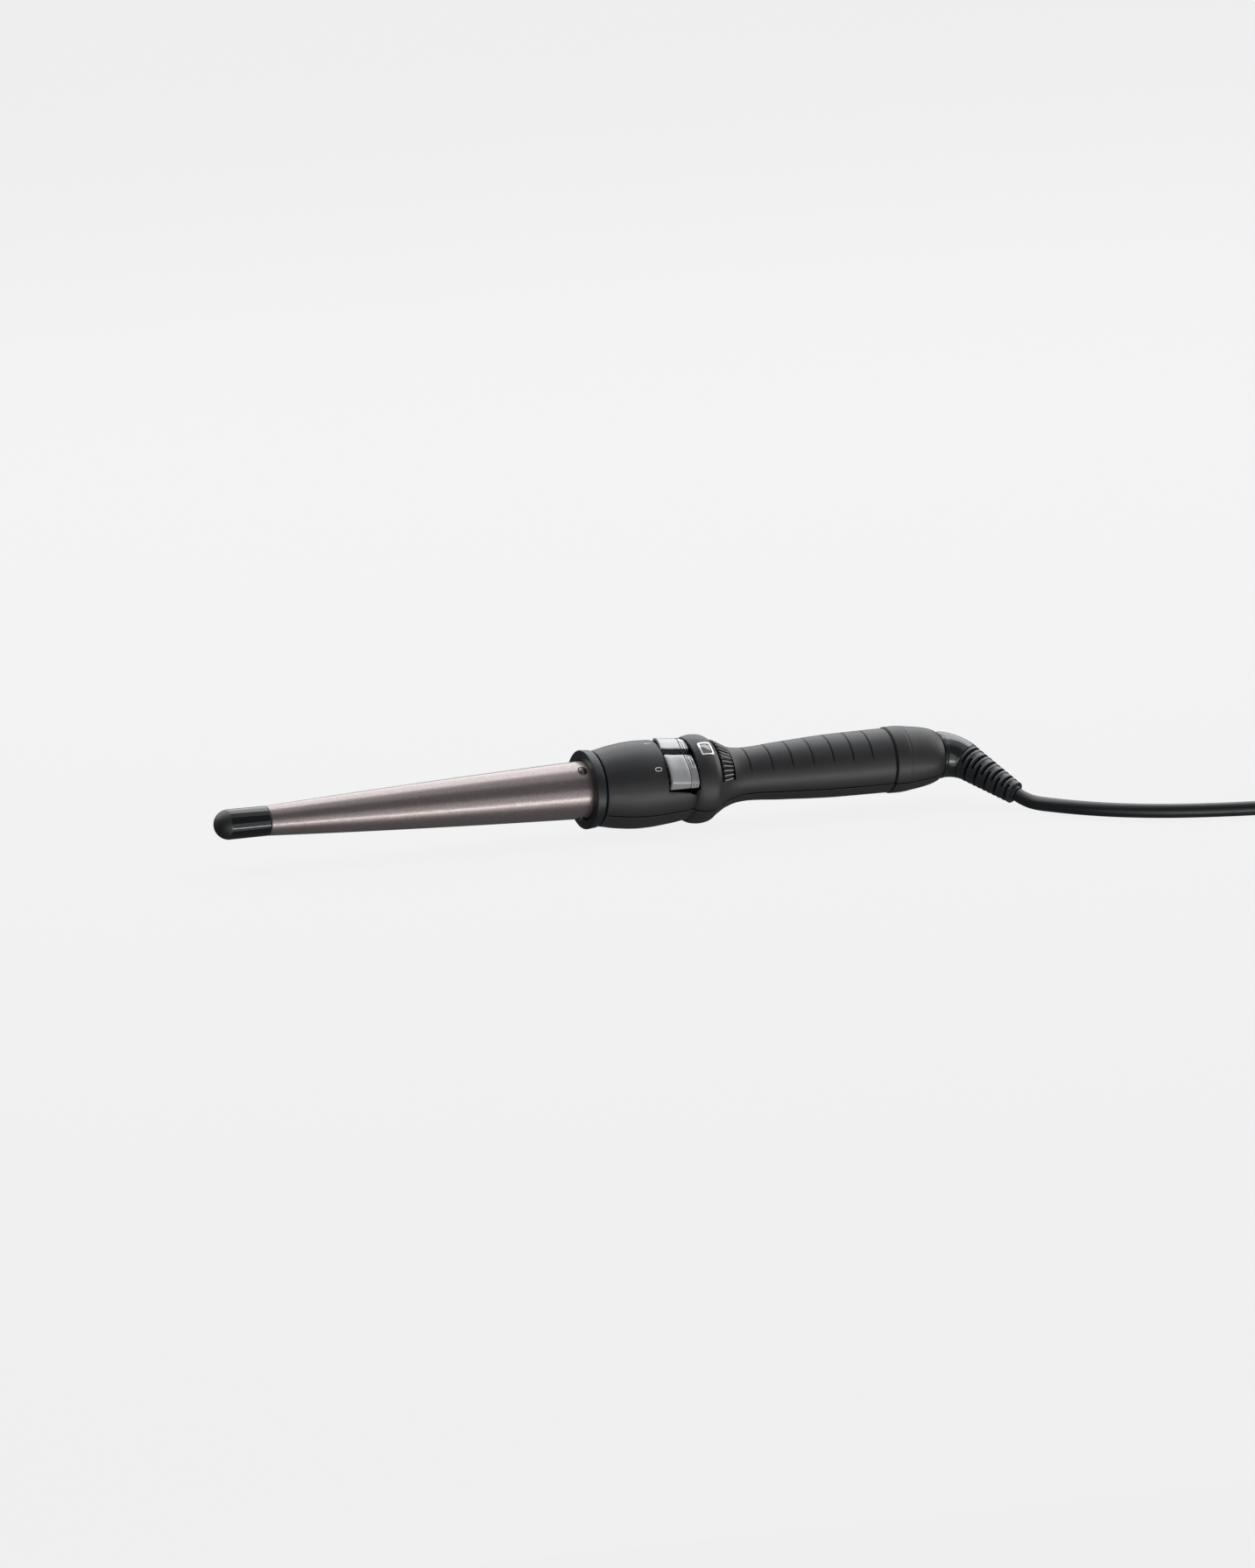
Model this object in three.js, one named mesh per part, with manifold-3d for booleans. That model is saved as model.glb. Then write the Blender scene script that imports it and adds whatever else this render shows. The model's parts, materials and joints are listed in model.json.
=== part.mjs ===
// A conical curling wand with a rocker switch, a temperature dial, a swivelling cord exit
// and its mains lead.
// Millimetres. +Z is up, the wand lies along X with its tip at -X, and z = 0 is the table that it lies on.
import * as THREE from 'three';
import { mergeVertices } from 'three/addons/utils/BufferGeometryUtils.js';
import Module from 'manifold-3d';

const manifold = await Module();
manifold.setup();

// ---------------------------------------------------------------- driving dimensions

const degrees = THREE.MathUtils.degToRad;
const GAP = 0.3; // clearance between touching pieces

// Stations along the wand, measured from the pole of the tip.
const BARREL_START = 23.6;
const COLLAR_FRONT = 168.1;
const COLLAR_BACK = 173.1;
const CASING_START = 173.4;
const CASING_END = 331.4;
const SEAM_STATION = 307.3;

const TIP_RADIUS = 6.4;
const BARREL_TIP_RADIUS = 6.3;
const BARREL_BASE_RADIUS = 12.2;
const BARREL_CROWN = 0.43; // how far the cone swells at half its length
const BARREL_WALL = 1.2;
const BARREL_END = 180;
const COLLAR_RADIUS = 16.75;
const RING_RADIUS = 18.85; // the bulge round the number window, the widest turned part

// The wand lies on its bulge and on the tip, with its controls rolled towards the front.
const AXIS_HEIGHT = RING_RADIUS;
const CONTROL_ROLL = degrees(35);
const ORIGIN_STATION = 174.5; // middle of the length without the cord
const ORIGIN_SIDE = -0.58; // middle of the width without the cord

// Rocker switch
const ROCKER_PIVOT = 10.5; // above the wand's axis
const ROCKER_REST = degrees(-5); // the side away from the cord's "0" mark is pressed
const ROCKER_START = 200.4;
const ROCKER_BACK = 209.6;
const LENS_BACK = 214.4;
const ROCKER_HALF_WIDTH = 15.1;

// Temperature dial, turning on an axis above the wand's own
const DIAL_OFFSET = 2.5;
const DIAL_START = 226.2;
const DIAL_LENGTH = 6.6;
const DIAL_FRONT_RADIUS = 14.8;
const DIAL_BACK_RADIUS = 11.2;
const DIAL_RIBS = 40;
const DRUM_RADIUS = 13.6;

// Swivelling cord exit
const SWIVEL_ROLL = degrees(-65); // the bend's direction: 25 degrees below level, to the front
const BEND_START = 331.4;
const BEND_RADIUS = 13;
const BEND_ANGLE = degrees(62.5);
const ELBOW_RADIUS = 9.7; // where the elbow leaves the casing
const GUARD_LENGTH = 28;
const GUARD_RIBS = 11;
const GUARD_START_RADIUS = 7.6;
const GUARD_END_RADIUS = 4.9;

// Mains lead: about 2.6 m in all, most of it in the coil
const CORD_RADIUS = 3;
const COIL_RADIUS = 33; // to the middle of its turns
const COIL_COLUMNS = 4;
const COIL_ROWS = 3;
const COIL_CENTRE = new THREE.Vector3(333.4, -57.6, 0);
const COIL_HEADING = degrees(-24); // the way the cord runs where it meets the coil, and the plug's way
const TIE_THICKNESS = 0.9;
const COIL_FLOOR = TIE_THICKNESS + GAP; // the tie passes under the coil

const root = new THREE.Group();
const wand = new THREE.Group(); // x is the station, +z is the controls' side
const swivel = new THREE.Group();
const axisLine = new THREE.Group(); // x is the station, +z is up
axisLine.position.set(-ORIGIN_STATION, -ORIGIN_SIDE, AXIS_HEIGHT);
wand.rotation.x = CONTROL_ROLL;
swivel.rotation.x = SWIVEL_ROLL;
axisLine.add(wand, swivel);
root.add(axisLine);

// ---------------------------------------------------------------- materials

const finish = (color, roughness, metalness = 0) => (
  new THREE.MeshStandardMaterial({ color, roughness, metalness })
);
const materials = {
  barrel: () => finish(0x9c8d8b, 0.32, 0.85),
  glossBlack: () => finish(0x0c0d0e, 0.12),
  softTouch: () => finish(0x333436, 0.55),
  collar: () => finish(0x1c1d1f, 0.45),
  silver: () => finish(0xa4a5a8, 0.4, 0.1),
  clear: () => new THREE.MeshStandardMaterial({
    color: 0xc9cdd2, roughness: 0.1, transparent: true, opacity: 0.4,
  }),
  red: () => finish(0xc0392b, 0.3),
  rubber: () => finish(0x151617, 0.6),
  steel: () => finish(0xb4b6b8, 0.3, 1),
  brass: () => finish(0xc9a24b, 0.3, 1),
  aluminium: () => finish(0xb9bcbe, 0.4, 1),
  ceramic: () => finish(0xe6dfd0, 0.7),
  board: () => finish(0x1f6b3a, 0.5),
  blackPlastic: () => finish(0x18191a, 0.45),
  white: () => finish(0xe9e9e7, 0.4),
  tie: () => finish(0x222325, 0.9),
};

// ---------------------------------------------------------------- helpers

// A closed geometry holding position only, with shared vertices merged and no flat triangles left.
function closed(geometry) {
  const bare = new THREE.BufferGeometry();
  bare.setAttribute('position', geometry.getAttribute('position').clone());
  if (geometry.index) bare.setIndex(geometry.index.clone());
  const merged = mergeVertices(bare, 1e-4);
  const kept = [];
  for (let i = 0; i < merged.index.count; i += 3) {
    const [a, b, c] = [0, 1, 2].map((k) => merged.index.getX(i + k));
    if (a !== b && b !== c && c !== a) kept.push(a, b, c);
  }
  if (signedVolume(merged, kept) < 0) kept.reverse();
  merged.setIndex(kept);
  return merged;
}

function signedVolume(geometry, index) {
  const position = geometry.getAttribute('position');
  const [a, b, c] = [new THREE.Vector3(), new THREE.Vector3(), new THREE.Vector3()];
  let volume = 0;
  for (let i = 0; i < index.length; i += 3) {
    a.fromBufferAttribute(position, index[i]);
    b.fromBufferAttribute(position, index[i + 1]);
    c.fromBufferAttribute(position, index[i + 2]);
    volume += a.dot(b.cross(c)) / 6;
  }
  return volume;
}

function solid(geometry) {
  const clean = closed(geometry);
  const vertProperties = Float32Array.from(clean.getAttribute('position').array);
  const triVerts = Uint32Array.from(clean.index.array);
  return new manifold.Manifold(new manifold.Mesh({ numProp: 3, vertProperties, triVerts }));
}

function geometryOf(body) {
  const mesh = body.getMesh();
  const geometry = new THREE.BufferGeometry();
  geometry.setAttribute('position', new THREE.BufferAttribute(Float32Array.from(mesh.vertProperties), 3));
  geometry.setIndex(Array.from(mesh.triVerts));
  return geometry;
}

const joined = (first, ...others) => others.reduce((body, next) => body.add(solid(next)), solid(first));
const cut = (geometry, ...tools) => (
  geometryOf(tools.reduce((body, tool) => body.subtract(solid(tool)), solid(geometry)))
);

function piece(parent, name, geometry, material) {
  const mesh = new THREE.Mesh(closed(geometry), material);
  mesh.name = name;
  parent.add(mesh);
}

// A body of revolution about X from [station, radius] pairs.
function turned(profile, segments = 32) {
  const points = profile.map(([station, radius]) => new THREE.Vector2(radius, station));
  return new THREE.LatheGeometry(points, segments).rotateZ(-Math.PI / 2);
}

const ringProfile = (start, end, inner, outer) => [
  [start, inner], [start, outer], [end, outer], [end, inner], [start, inner],
];

// A box given by its lowest and highest corners.
function box([x0, y0, z0], [x1, y1, z1]) {
  const block = new THREE.BoxGeometry(x1 - x0, y1 - y0, z1 - z0);
  return block.translate((x0 + x1) / 2, (y0 + y1) / 2, (z0 + z1) / 2);
}

// A shape drawn in the YZ plane, extruded along X from start to end.
function extrudedAlongX(shape, start, end, curveSegments = 8) {
  const settings = { depth: end - start, bevelEnabled: false, curveSegments };
  const geometry = new THREE.ExtrudeGeometry(shape, settings);
  const basis = new THREE.Matrix4().makeBasis(
    new THREE.Vector3(0, 1, 0), new THREE.Vector3(0, 0, 1), new THREE.Vector3(1, 0, 0),
  );
  return geometry.applyMatrix4(basis).translate(start, 0, 0);
}

// A rod between two points.
function rod(from, to, radius, segments = 12) {
  const start = new THREE.Vector3(...from);
  const reach = new THREE.Vector3(...to).sub(start);
  const cylinder = new THREE.CylinderGeometry(radius, radius, reach.length(), segments);
  const turn = new THREE.Quaternion();
  turn.setFromUnitVectors(new THREE.Vector3(0, 1, 0), reach.clone().normalize());
  return cylinder.applyQuaternion(turn).translate(...start.addScaledVector(reach, 0.5).toArray());
}

// A turned geometry, whose x is a length along a path, laid along that path.
function laidAlong(geometry, place) {
  const position = geometry.getAttribute('position');
  for (let i = 0; i < position.count; i += 1) {
    const { centre, side, lift } = place(position.getX(i));
    const point = centre.clone();
    point.addScaledVector(side, position.getY(i)).addScaledVector(lift, position.getZ(i));
    position.setXYZ(i, point.x, point.y, point.z);
  }
  return geometry;
}

// ---------------------------------------------------------------- barrel and tip

function barrelRadius(station) {
  const u = (station - BARREL_START) / (COLLAR_FRONT - BARREL_START);
  const cone = THREE.MathUtils.lerp(BARREL_TIP_RADIUS, BARREL_BASE_RADIUS, u);
  return cone + BARREL_CROWN * 4 * u * (1 - u);
}

const span = (start, end, steps) => (
  Array.from({ length: steps + 1 }, (_, i) => start + ((end - start) * i) / steps)
);

const bore = (station) => barrelRadius(station) - BARREL_WALL;

// A tube between two offsets from the barrel's outer surface.
function barrelSleeve(start, end, outerOffset, innerOffset, steps) {
  const stations = span(start, end, steps);
  const outer = stations.map((s) => [s, barrelRadius(s) - outerOffset]);
  const inner = stations.reverse().map((s) => [s, barrelRadius(s) - innerOffset]);
  return [...outer, ...inner, outer[0]];
}

function coolTip() {
  const dome = span(0, 90, 6).map((a) => [
    TIP_RADIUS * (1 - Math.cos(degrees(a))), TIP_RADIUS * Math.sin(degrees(a)),
  ]);
  const spigot = bore(BARREL_START) - GAP;
  const end = BARREL_START - GAP;
  return turned([...dome, [end, BARREL_TIP_RADIUS], [end, spigot], [end + 10, spigot], [end + 10, 0]], 28);
}

const SCREW_STATION = 165.2;
const screwAngles = [0, 120, 240];

// Points a piece built along +Z at the screws' station round the wand's axis.
const roundAxis = (geometry, angle) => geometry.rotateX(degrees(angle));

// Holes for the barrel's screws, wider than their shafts.
const screwHoles = (radius) => screwAngles.map((angle) => (
  roundAxis(rod([SCREW_STATION, 0, 4], [SCREW_STATION, 0, 20], radius), angle)
));

function barrel() {
  const tube = turned(barrelSleeve(BARREL_START, BARREL_END, 0, BARREL_WALL, 5), 28);
  return cut(tube, ...screwHoles(1.3));
}

function barrelScrew(angle) {
  const surface = barrelRadius(SCREW_STATION);
  const head = new THREE.LatheGeometry([
    [0, 0], [0.9, 0], [0.9, 3.7], [1.85, 3.7], [1.75, 4.2], [1.2, 4.6], [0, 4.75],
  ].map(([r, h]) => new THREE.Vector2(r, h)), 16);
  head.rotateX(Math.PI / 2).translate(SCREW_STATION, 0, surface - 3.7 + GAP / 2);
  return roundAxis(head, angle);
}

function barrelCarrier() {
  const tube = turned(barrelSleeve(154, 187, BARREL_WALL + GAP, BARREL_WALL + 3, 1), 24);
  return cut(tube, ...screwHoles(1.2));
}

function collar() {
  const seat = barrelRadius(COLLAR_FRONT) + GAP;
  return turned([
    [COLLAR_FRONT, seat], [COLLAR_FRONT, COLLAR_RADIUS - 0.3], [COLLAR_FRONT + 0.3, COLLAR_RADIUS],
    [COLLAR_BACK, COLLAR_RADIUS - 0.5], [COLLAR_BACK, 14.5], [COLLAR_BACK + 4, 14.5],
    [COLLAR_BACK + 4, seat + 0.4], [COLLAR_FRONT, seat],
  ], 36);
}

piece(wand, 'cool_tip', coolTip(), materials.glossBlack());
piece(wand, 'barrel', barrel(), materials.barrel());
screwAngles.forEach((angle, i) => {
  piece(wand, `barrel_screw_${i + 1}`, barrelScrew(angle), materials.steel());
});
piece(wand, 'barrel_carrier', barrelCarrier(), materials.ceramic());
piece(wand, 'collar', collar(), materials.collar());

// ---------------------------------------------------------------- heater inside the barrel

const HEATER_START = 42;
const HEATER_END = 146;
const HEATER_HALF_THICKNESS = 1.8;

// Half of a tapered slug that presses one side of the heater plate against the barrel.
function heatSpreader(side) {
  const stations = span(HEATER_START, HEATER_END, 4);
  const outer = stations.map((s) => [s, bore(s) - GAP]);
  const slug = turned([[HEATER_START, 0], ...outer, [HEATER_END, 0]], 32);
  const lowest = HEATER_HALF_THICKNESS + GAP;
  const keep = side > 0 ? box([0, -20, lowest], [200, 20, 20]) : box([0, -20, -20], [200, 20, -lowest]);
  return geometryOf(solid(slug).intersect(solid(keep)));
}

function wavySpring() {
  const thickness = 0.4;
  const wave = span(HEATER_START + 4, HEATER_END - 4, 24).map((s, i) => [s, i % 2 ? -1.5 : -0.9]);
  const shape = new THREE.Shape(wave.map(([s, z]) => new THREE.Vector2(s, z)));
  wave.reverse().forEach(([s, z]) => shape.lineTo(s, z + thickness));
  const strip = new THREE.ExtrudeGeometry(shape, { depth: 4, bevelEnabled: false });
  return strip.rotateX(Math.PI / 2).translate(0, 2, 0);
}

piece(wand, 'heater_plate', box([HEATER_START, -3.2, -0.2], [HEATER_END, 3.2, HEATER_HALF_THICKNESS]),
  materials.ceramic());
piece(wand, 'heat_spreader_upper', heatSpreader(1), materials.aluminium());
piece(wand, 'heat_spreader_lower', heatSpreader(-1), materials.aluminium());
piece(wand, 'spreader_spring', wavySpring(), materials.steel());
piece(wand, 'temperature_sensor', rod([148, 0, 4], [154, 0, 4], 1.2), materials.ceramic());
piece(wand, 'thermal_fuse', rod([147, 0, -5], [160, 0, -5], 1.9), materials.steel());

// ---------------------------------------------------------------- casing

// The casing's outer profile: head, waist, bulge, neck, grip, seam groove and domed end.
const casingOutside = [
  [CASING_START, 15.9], [176, 16.35], [180, 17.2], [184, 17.8], [188, 18.25], [193, 18.5],
  [198, 18.35], [203, 17.9], [208, 17.4], [211.6, 16.75], [213, 16.6], [214.4, 17.75],
  [216.6, 18.5], [219.5, RING_RADIUS], [222.4, 18.5], [224.8, 17.4], [226.4, 16.4], [228.2, 15.1],
  [230.4, 13.8], [232.8, 12.9], [235.4, 12.05], [238.5, 11.5], [243, 11.25], [248, 11.45],
  [256, 12.05], [264, 12.5], [273, 13], [284, 13.4], [300, 13.5], [SEAM_STATION - 0.6, 13.6],
  [SEAM_STATION - 0.5, 12.9], [SEAM_STATION + 0.5, 12.9], [SEAM_STATION + 0.6, 14],
  [312, 14.1], [314.4, 13.9], [318, 13.45], [322, 12.9], [326, 12.15], [329, 11.2], [CASING_END, 9.9],
];
const SWIVEL_BORE = 7.6;
const casingInside = [
  [CASING_END, SWIVEL_BORE], [329.2, SWIVEL_BORE], [329.2, 9.6], [325.6, 9.9], [325.6, SWIVEL_BORE],
  [323.6, SWIVEL_BORE], [323.6, 10.6], [316, 11.2], [306, 11.2], [284, 11.5],
  [264, 10.7], [248, 9.7], [241, 9.6], [236, 10.2], [232.8, 11.3],
  [228.2, 13.5], [225.2, 15.5], [223, 16.6], [216, 16.6], [214, 14.9],
  [208, 15.4], [198, 16.5], [188, 16.4], [178.4, 14.9], [CASING_START, 14.9],
];

const dialSection = (clearance) => [
  [DIAL_START - clearance, 0],
  [DIAL_START - clearance, DIAL_FRONT_RADIUS + clearance],
  [DIAL_START + DIAL_LENGTH + clearance, DIAL_BACK_RADIUS + clearance],
  [DIAL_START + DIAL_LENGTH + clearance, 0],
];

const WINDOW_START = 216.8;
const WINDOW_END = 222.8;
const WINDOW_HALF_WIDTH = 3.3;
const rockerOpening = () => box([ROCKER_START - GAP, -ROCKER_HALF_WIDTH - 0.4, 3],
  [LENS_BACK + GAP, ROCKER_HALF_WIDTH + 0.4, 30]);
const windowOpening = () => box([WINDOW_START, -WINDOW_HALF_WIDTH, 10], [WINDOW_END, WINDOW_HALF_WIDTH, 30]);
const dialOpening = () => turned(dialSection(0.4), 36).translate(0, 0, DIAL_OFFSET);

const casingScrews = [[192, 10], [248, 0], [300, 0]]; // station and distance to the side

const screwPost = ([s, y], from, to, radius) => rod([s, y, from], [s, y, to], radius, 14);

function casingHalf(side) {
  const tube = turned([...casingOutside, ...casingInside, casingOutside[0]], 30);
  const split = GAP / 2;
  const far = 400;
  const keep = side > 0 ? box([0, -40, split], [far, 40, 40]) : box([0, -40, -40], [far, 40, -split]);
  let half = solid(tube).intersect(solid(keep)).subtract(solid(dialOpening()));
  for (const screw of casingScrews) {
    const height = Math.sqrt(boreAt(screw[0]) ** 2 - screw[1] ** 2) + 0.6;
    const post = side > 0 ? screwPost(screw, split, height, 2.6) : screwPost(screw, -height, -split, 2.9);
    const shaft = side > 0 ? screwPost(screw, -1, 7, 1.3) : screwPost(screw, -30, 1, 1.5);
    half = half.add(solid(post)).subtract(solid(shaft));
    if (side < 0) half = half.subtract(solid(screwPost(screw, -30, 3 - height, 2.4)));
  }
  if (side > 0) half = half.subtract(solid(rockerOpening())).subtract(solid(windowOpening()));
  return geometryOf(half);
}

// The casing's inner radius at a station.
function boreAt(station) {
  const after = casingInside.findIndex(([s]) => s <= station);
  const [s1, r1] = casingInside[after];
  const [s0, r0] = casingInside[after - 1];
  return THREE.MathUtils.mapLinear(station, s0, s1, r0, r1);
}

function casingScrew(screw) {
  const headTop = 2.7 - Math.sqrt(boreAt(screw[0]) ** 2 - screw[1] ** 2) - 0.6;
  const head = screwPost(screw, headTop - 1.6, headTop, 2.1);
  return geometryOf(joined(head, screwPost(screw, headTop - 0.2, 5.5, 1)));
}

piece(wand, 'upper_casing', casingHalf(1), materials.softTouch());
piece(wand, 'lower_casing', casingHalf(-1), materials.softTouch());
casingScrews.forEach((screw, i) => {
  piece(wand, `casing_screw_${i + 1}`, casingScrew(screw), materials.steel());
});

// ---------------------------------------------------------------- rocker switch

// Half of the rocker's crowned top, from its valley to one end; the other half mirrors it.
const ROCKER_VALLEY = 16.9;
const ROCKER_END_HEIGHT = 12.5;

function rockerOutline(halfWidth, drop, thickness, hubWidth) {
  const end = ROCKER_END_HEIGHT - drop;
  const valley = ROCKER_VALLEY - drop;
  const foot = end - 3.3;
  const crown = 17.2 - drop;
  const shape = new THREE.Shape();
  shape.moveTo(-halfWidth, foot);
  shape.lineTo(-halfWidth + thickness, foot);
  shape.lineTo(-halfWidth + thickness, end - 1.6);
  shape.lineTo(-hubWidth, valley - 2.4);
  if (hubWidth > 0) {
    shape.lineTo(-hubWidth, 8);
    shape.lineTo(hubWidth, 8);
    shape.lineTo(hubWidth, valley - 2.4);
  }
  shape.lineTo(halfWidth - thickness, end - 1.6);
  shape.lineTo(halfWidth - thickness, foot);
  shape.lineTo(halfWidth, foot);
  shape.lineTo(halfWidth, end - 0.6);
  shape.quadraticCurveTo(halfWidth, end, halfWidth - 0.6, end + 0.3);
  shape.quadraticCurveTo(9, crown, 1, valley + 0.5);
  shape.lineTo(0, valley);
  shape.lineTo(-1, valley + 0.5);
  shape.quadraticCurveTo(-9, crown, -halfWidth + 0.6, end + 0.3);
  shape.quadraticCurveTo(-halfWidth, end, -halfWidth, end - 0.6);
  return shape;
}

// Turns a piece drawn in the rocker's middle position to where it rests.
const rocked = (geometry) =>
  geometry.translate(0, 0, -ROCKER_PIVOT).rotateX(ROCKER_REST).translate(0, 0, ROCKER_PIVOT);

function rockerCap() {
  const shape = rockerOutline(ROCKER_HALF_WIDTH, 0, 1.5, 3.2);
  const hole = new THREE.Path();
  hole.absarc(0, ROCKER_PIVOT, 1.3, 0, Math.PI * 2, true);
  shape.holes.push(hole);
  return rocked(extrudedAlongX(shape, ROCKER_START, ROCKER_BACK, 10));
}

const rockerLens = () => rocked(extrudedAlongX(rockerOutline(ROCKER_HALF_WIDTH - 0.8, 0.3, 1.2, 0),
  ROCKER_BACK + GAP, LENS_BACK, 10));

const EAR_FRONT = 198.6;
const EAR_BACK = 215;
function switchBody() {
  const base = box([EAR_FRONT, -8, -1.5], [EAR_BACK + 1.4, 8, 6.6]);
  const ear = (start) => box([start, -3.2, 6], [start + 1.4, 3.2, ROCKER_PIVOT + 2.4]);
  const pinHole = rod([190, 0, ROCKER_PIVOT], [220, 0, ROCKER_PIVOT], 1.3);
  return geometryOf(joined(base, ear(EAR_FRONT), ear(EAR_BACK)).subtract(solid(pinHole)));
}

piece(wand, 'rocker_cap', rockerCap(), materials.silver());
piece(wand, 'rocker_lens', rockerLens(), materials.clear());
piece(wand, 'rocker_pin', rod([EAR_FRONT + 0.1, 0, ROCKER_PIVOT], [EAR_BACK + 1.3, 0, ROCKER_PIVOT], 1),
  materials.steel());
piece(wand, 'switch_body', switchBody(), materials.blackPlastic());
piece(wand, 'indicator_lamp', rod([212.4, -9, 8.7], [212.4, -1, 8.7], 1.7), materials.red());
[-6, 6].forEach((y, i) => {
  piece(wand, `switch_contact_${i + 1}`, box([203, y - 1.6, 6.9], [209, y + 1.6, 7.3]), materials.brass());
});

// ---------------------------------------------------------------- temperature dial

function dialWheel() {
  const shape = new THREE.Shape();
  const step = (Math.PI * 2) / DIAL_RIBS;
  const ribDepth = 0.9;
  for (let i = 0; i < DIAL_RIBS; i += 1) {
    const corners = [[0, -ribDepth], [0.3, 0], [0.6, 0], [0.9, -ribDepth]];
    for (const [turn, depth] of corners) {
      const angle = (i + turn) * step;
      const radius = DIAL_FRONT_RADIUS + depth;
      const point = [Math.cos(angle) * radius, Math.sin(angle) * radius];
      if (i === 0 && turn === 0) shape.moveTo(...point);
      else shape.lineTo(...point);
    }
  }
  const boreHole = new THREE.Path();
  boreHole.absarc(0, 0, 1.8, 0, Math.PI * 2, true);
  shape.holes.push(boreHole);
  const wheel = extrudedAlongX(shape, 0, DIAL_LENGTH, 12);
  const position = wheel.getAttribute('position');
  for (let i = 0; i < position.count; i += 1) {
    const [x, y, z] = [position.getX(i), position.getY(i), position.getZ(i)];
    if (Math.hypot(y, z) < 5) continue;
    const taper = THREE.MathUtils.lerp(1, DIAL_BACK_RADIUS / DIAL_FRONT_RADIUS, x / DIAL_LENGTH);
    position.setXYZ(i, x, y * taper, z * taper);
  }
  return wheel.translate(DIAL_START, 0, DIAL_OFFSET);
}

const onDialAxis = (profile, segments) => turned(profile, segments).translate(0, 0, DIAL_OFFSET);

const numberDrum = () => onDialAxis([
  [217.2, 1.8], [217.2, 6], [223.6, 6], [223.6, 11.4], [217.2, 11.4], [217.2, DRUM_RADIUS],
  [223.2, DRUM_RADIUS], [224.6, 12.2], [DIAL_START - GAP, 12.2], [DIAL_START - GAP, 1.8], [217.2, 1.8],
], 30);

piece(wand, 'dial_wheel', dialWheel(), materials.rubber());
piece(wand, 'number_drum', numberDrum(), materials.blackPlastic());
piece(wand, 'dial_spindle', onDialAxis([[218, 0], [218, 1.5], [243, 1.5], [243, 0]], 16), materials.steel());
piece(wand, 'potentiometer', onDialAxis(ringProfile(236, 242.6, 1.8, 6.4), 24), materials.blackPlastic());

function windowLens() {
  const ring = ringProfile(WINDOW_START + 0.2, WINDOW_END - 0.2, RING_RADIUS - 1.5, RING_RADIUS - 0.4);
  const plate = turned(ring, 48);
  const keep = box([0, -WINDOW_HALF_WIDTH + 0.2, 5], [400, WINDOW_HALF_WIDTH - 0.2, 30]);
  return geometryOf(solid(plate).intersect(solid(keep)));
}
piece(wand, 'number_window', windowLens(), materials.clear());

// ---------------------------------------------------------------- electronics in the grip

piece(wand, 'control_board', box([255, -8, -1.8], [294, 8, -0.2]), materials.board());
piece(wand, 'capacitor', box([259, -5, 0.2], [269, 5, 6.6]), materials.blackPlastic());
piece(wand, 'power_triac', box([273, -5, 0.2], [277.5, 5, 7.6]), materials.blackPlastic());
piece(wand, 'processor_chip', box([280, -4, 0.2], [288, 4, 1.6]), materials.blackPlastic());

// Each heater lead runs from the barrel under the switch and the dial to the board, beside the casing screw.
function heaterLead(side) {
  const stops = [[162, 2.4, -1], [190, 2, -3], [202, 2, -5], [209, 1.8, -9.4], [214.5, 1.6, -12.6],
    [220, 1.6, -13.5], [226, 1.6, -13.5], [229, 1.6, -12], [232, 1.6, -10.4], [235.5, 1.8, -8.6],
    [240, 3, -6.4], [246, 4.6, -5], [253.5, 5, -4]];
  const points = stops.map(([s, y, z]) => new THREE.Vector3(s, y * side, z));
  const route = new THREE.CatmullRomCurve3(points, false, 'centripetal');
  const section = new THREE.Shape();
  section.absarc(0, 0, 0.7, 0, Math.PI * 2);
  return new THREE.ExtrudeGeometry(section, { steps: 26, extrudePath: route, curveSegments: 3 });
}

piece(wand, 'heater_lead_1', heaterLead(-1), materials.white());
piece(wand, 'heater_lead_2', heaterLead(1), materials.white());

// ---------------------------------------------------------------- swivelling cord exit

const BEND_LENGTH = BEND_RADIUS * BEND_ANGLE;
const GUARD_START = BEND_START + BEND_LENGTH - 0.5;
const GUARD_END = GUARD_START + GUARD_LENGTH;

// The centre line of the exit: along the axis, round the bend, then straight. Its own +z is the bend's side.
function exitPlace(length) {
  const side = new THREE.Vector3(0, 1, 0);
  const turn = THREE.MathUtils.clamp((length - BEND_START) / BEND_RADIUS, 0, BEND_ANGLE);
  const beyond = Math.max(0, length - BEND_START - BEND_LENGTH);
  const along = new THREE.Vector3(Math.cos(turn), 0, -Math.sin(turn));
  const lift = new THREE.Vector3(Math.sin(turn), 0, Math.cos(turn));
  const centre = new THREE.Vector3(
    Math.min(length, BEND_START) + BEND_RADIUS * Math.sin(turn), 0, -BEND_RADIUS * (1 - Math.cos(turn)),
  ).addScaledVector(along, beyond);
  return { centre, side, lift };
}

function swivelElbow() {
  const steps = 7;
  const bend = span(334, GUARD_START - GAP, steps).map((s, i) => [
    s, THREE.MathUtils.lerp(ELBOW_RADIUS, GUARD_START_RADIUS + 0.4, i / steps),
  ]);
  const profile = [
    [312, 0], [312, 4.2], [322.6, 4.2], [322.6, 7.2], [326, 7.2], [326, 9.1], [328.8, 9.1], [328.8, 7.2],
    [CASING_END + GAP, 7.2], [CASING_END + GAP, 9.6], ...bend, [GUARD_START - GAP, 0],
  ];
  return laidAlong(turned(profile, 24), exitPlace);
}

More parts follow.
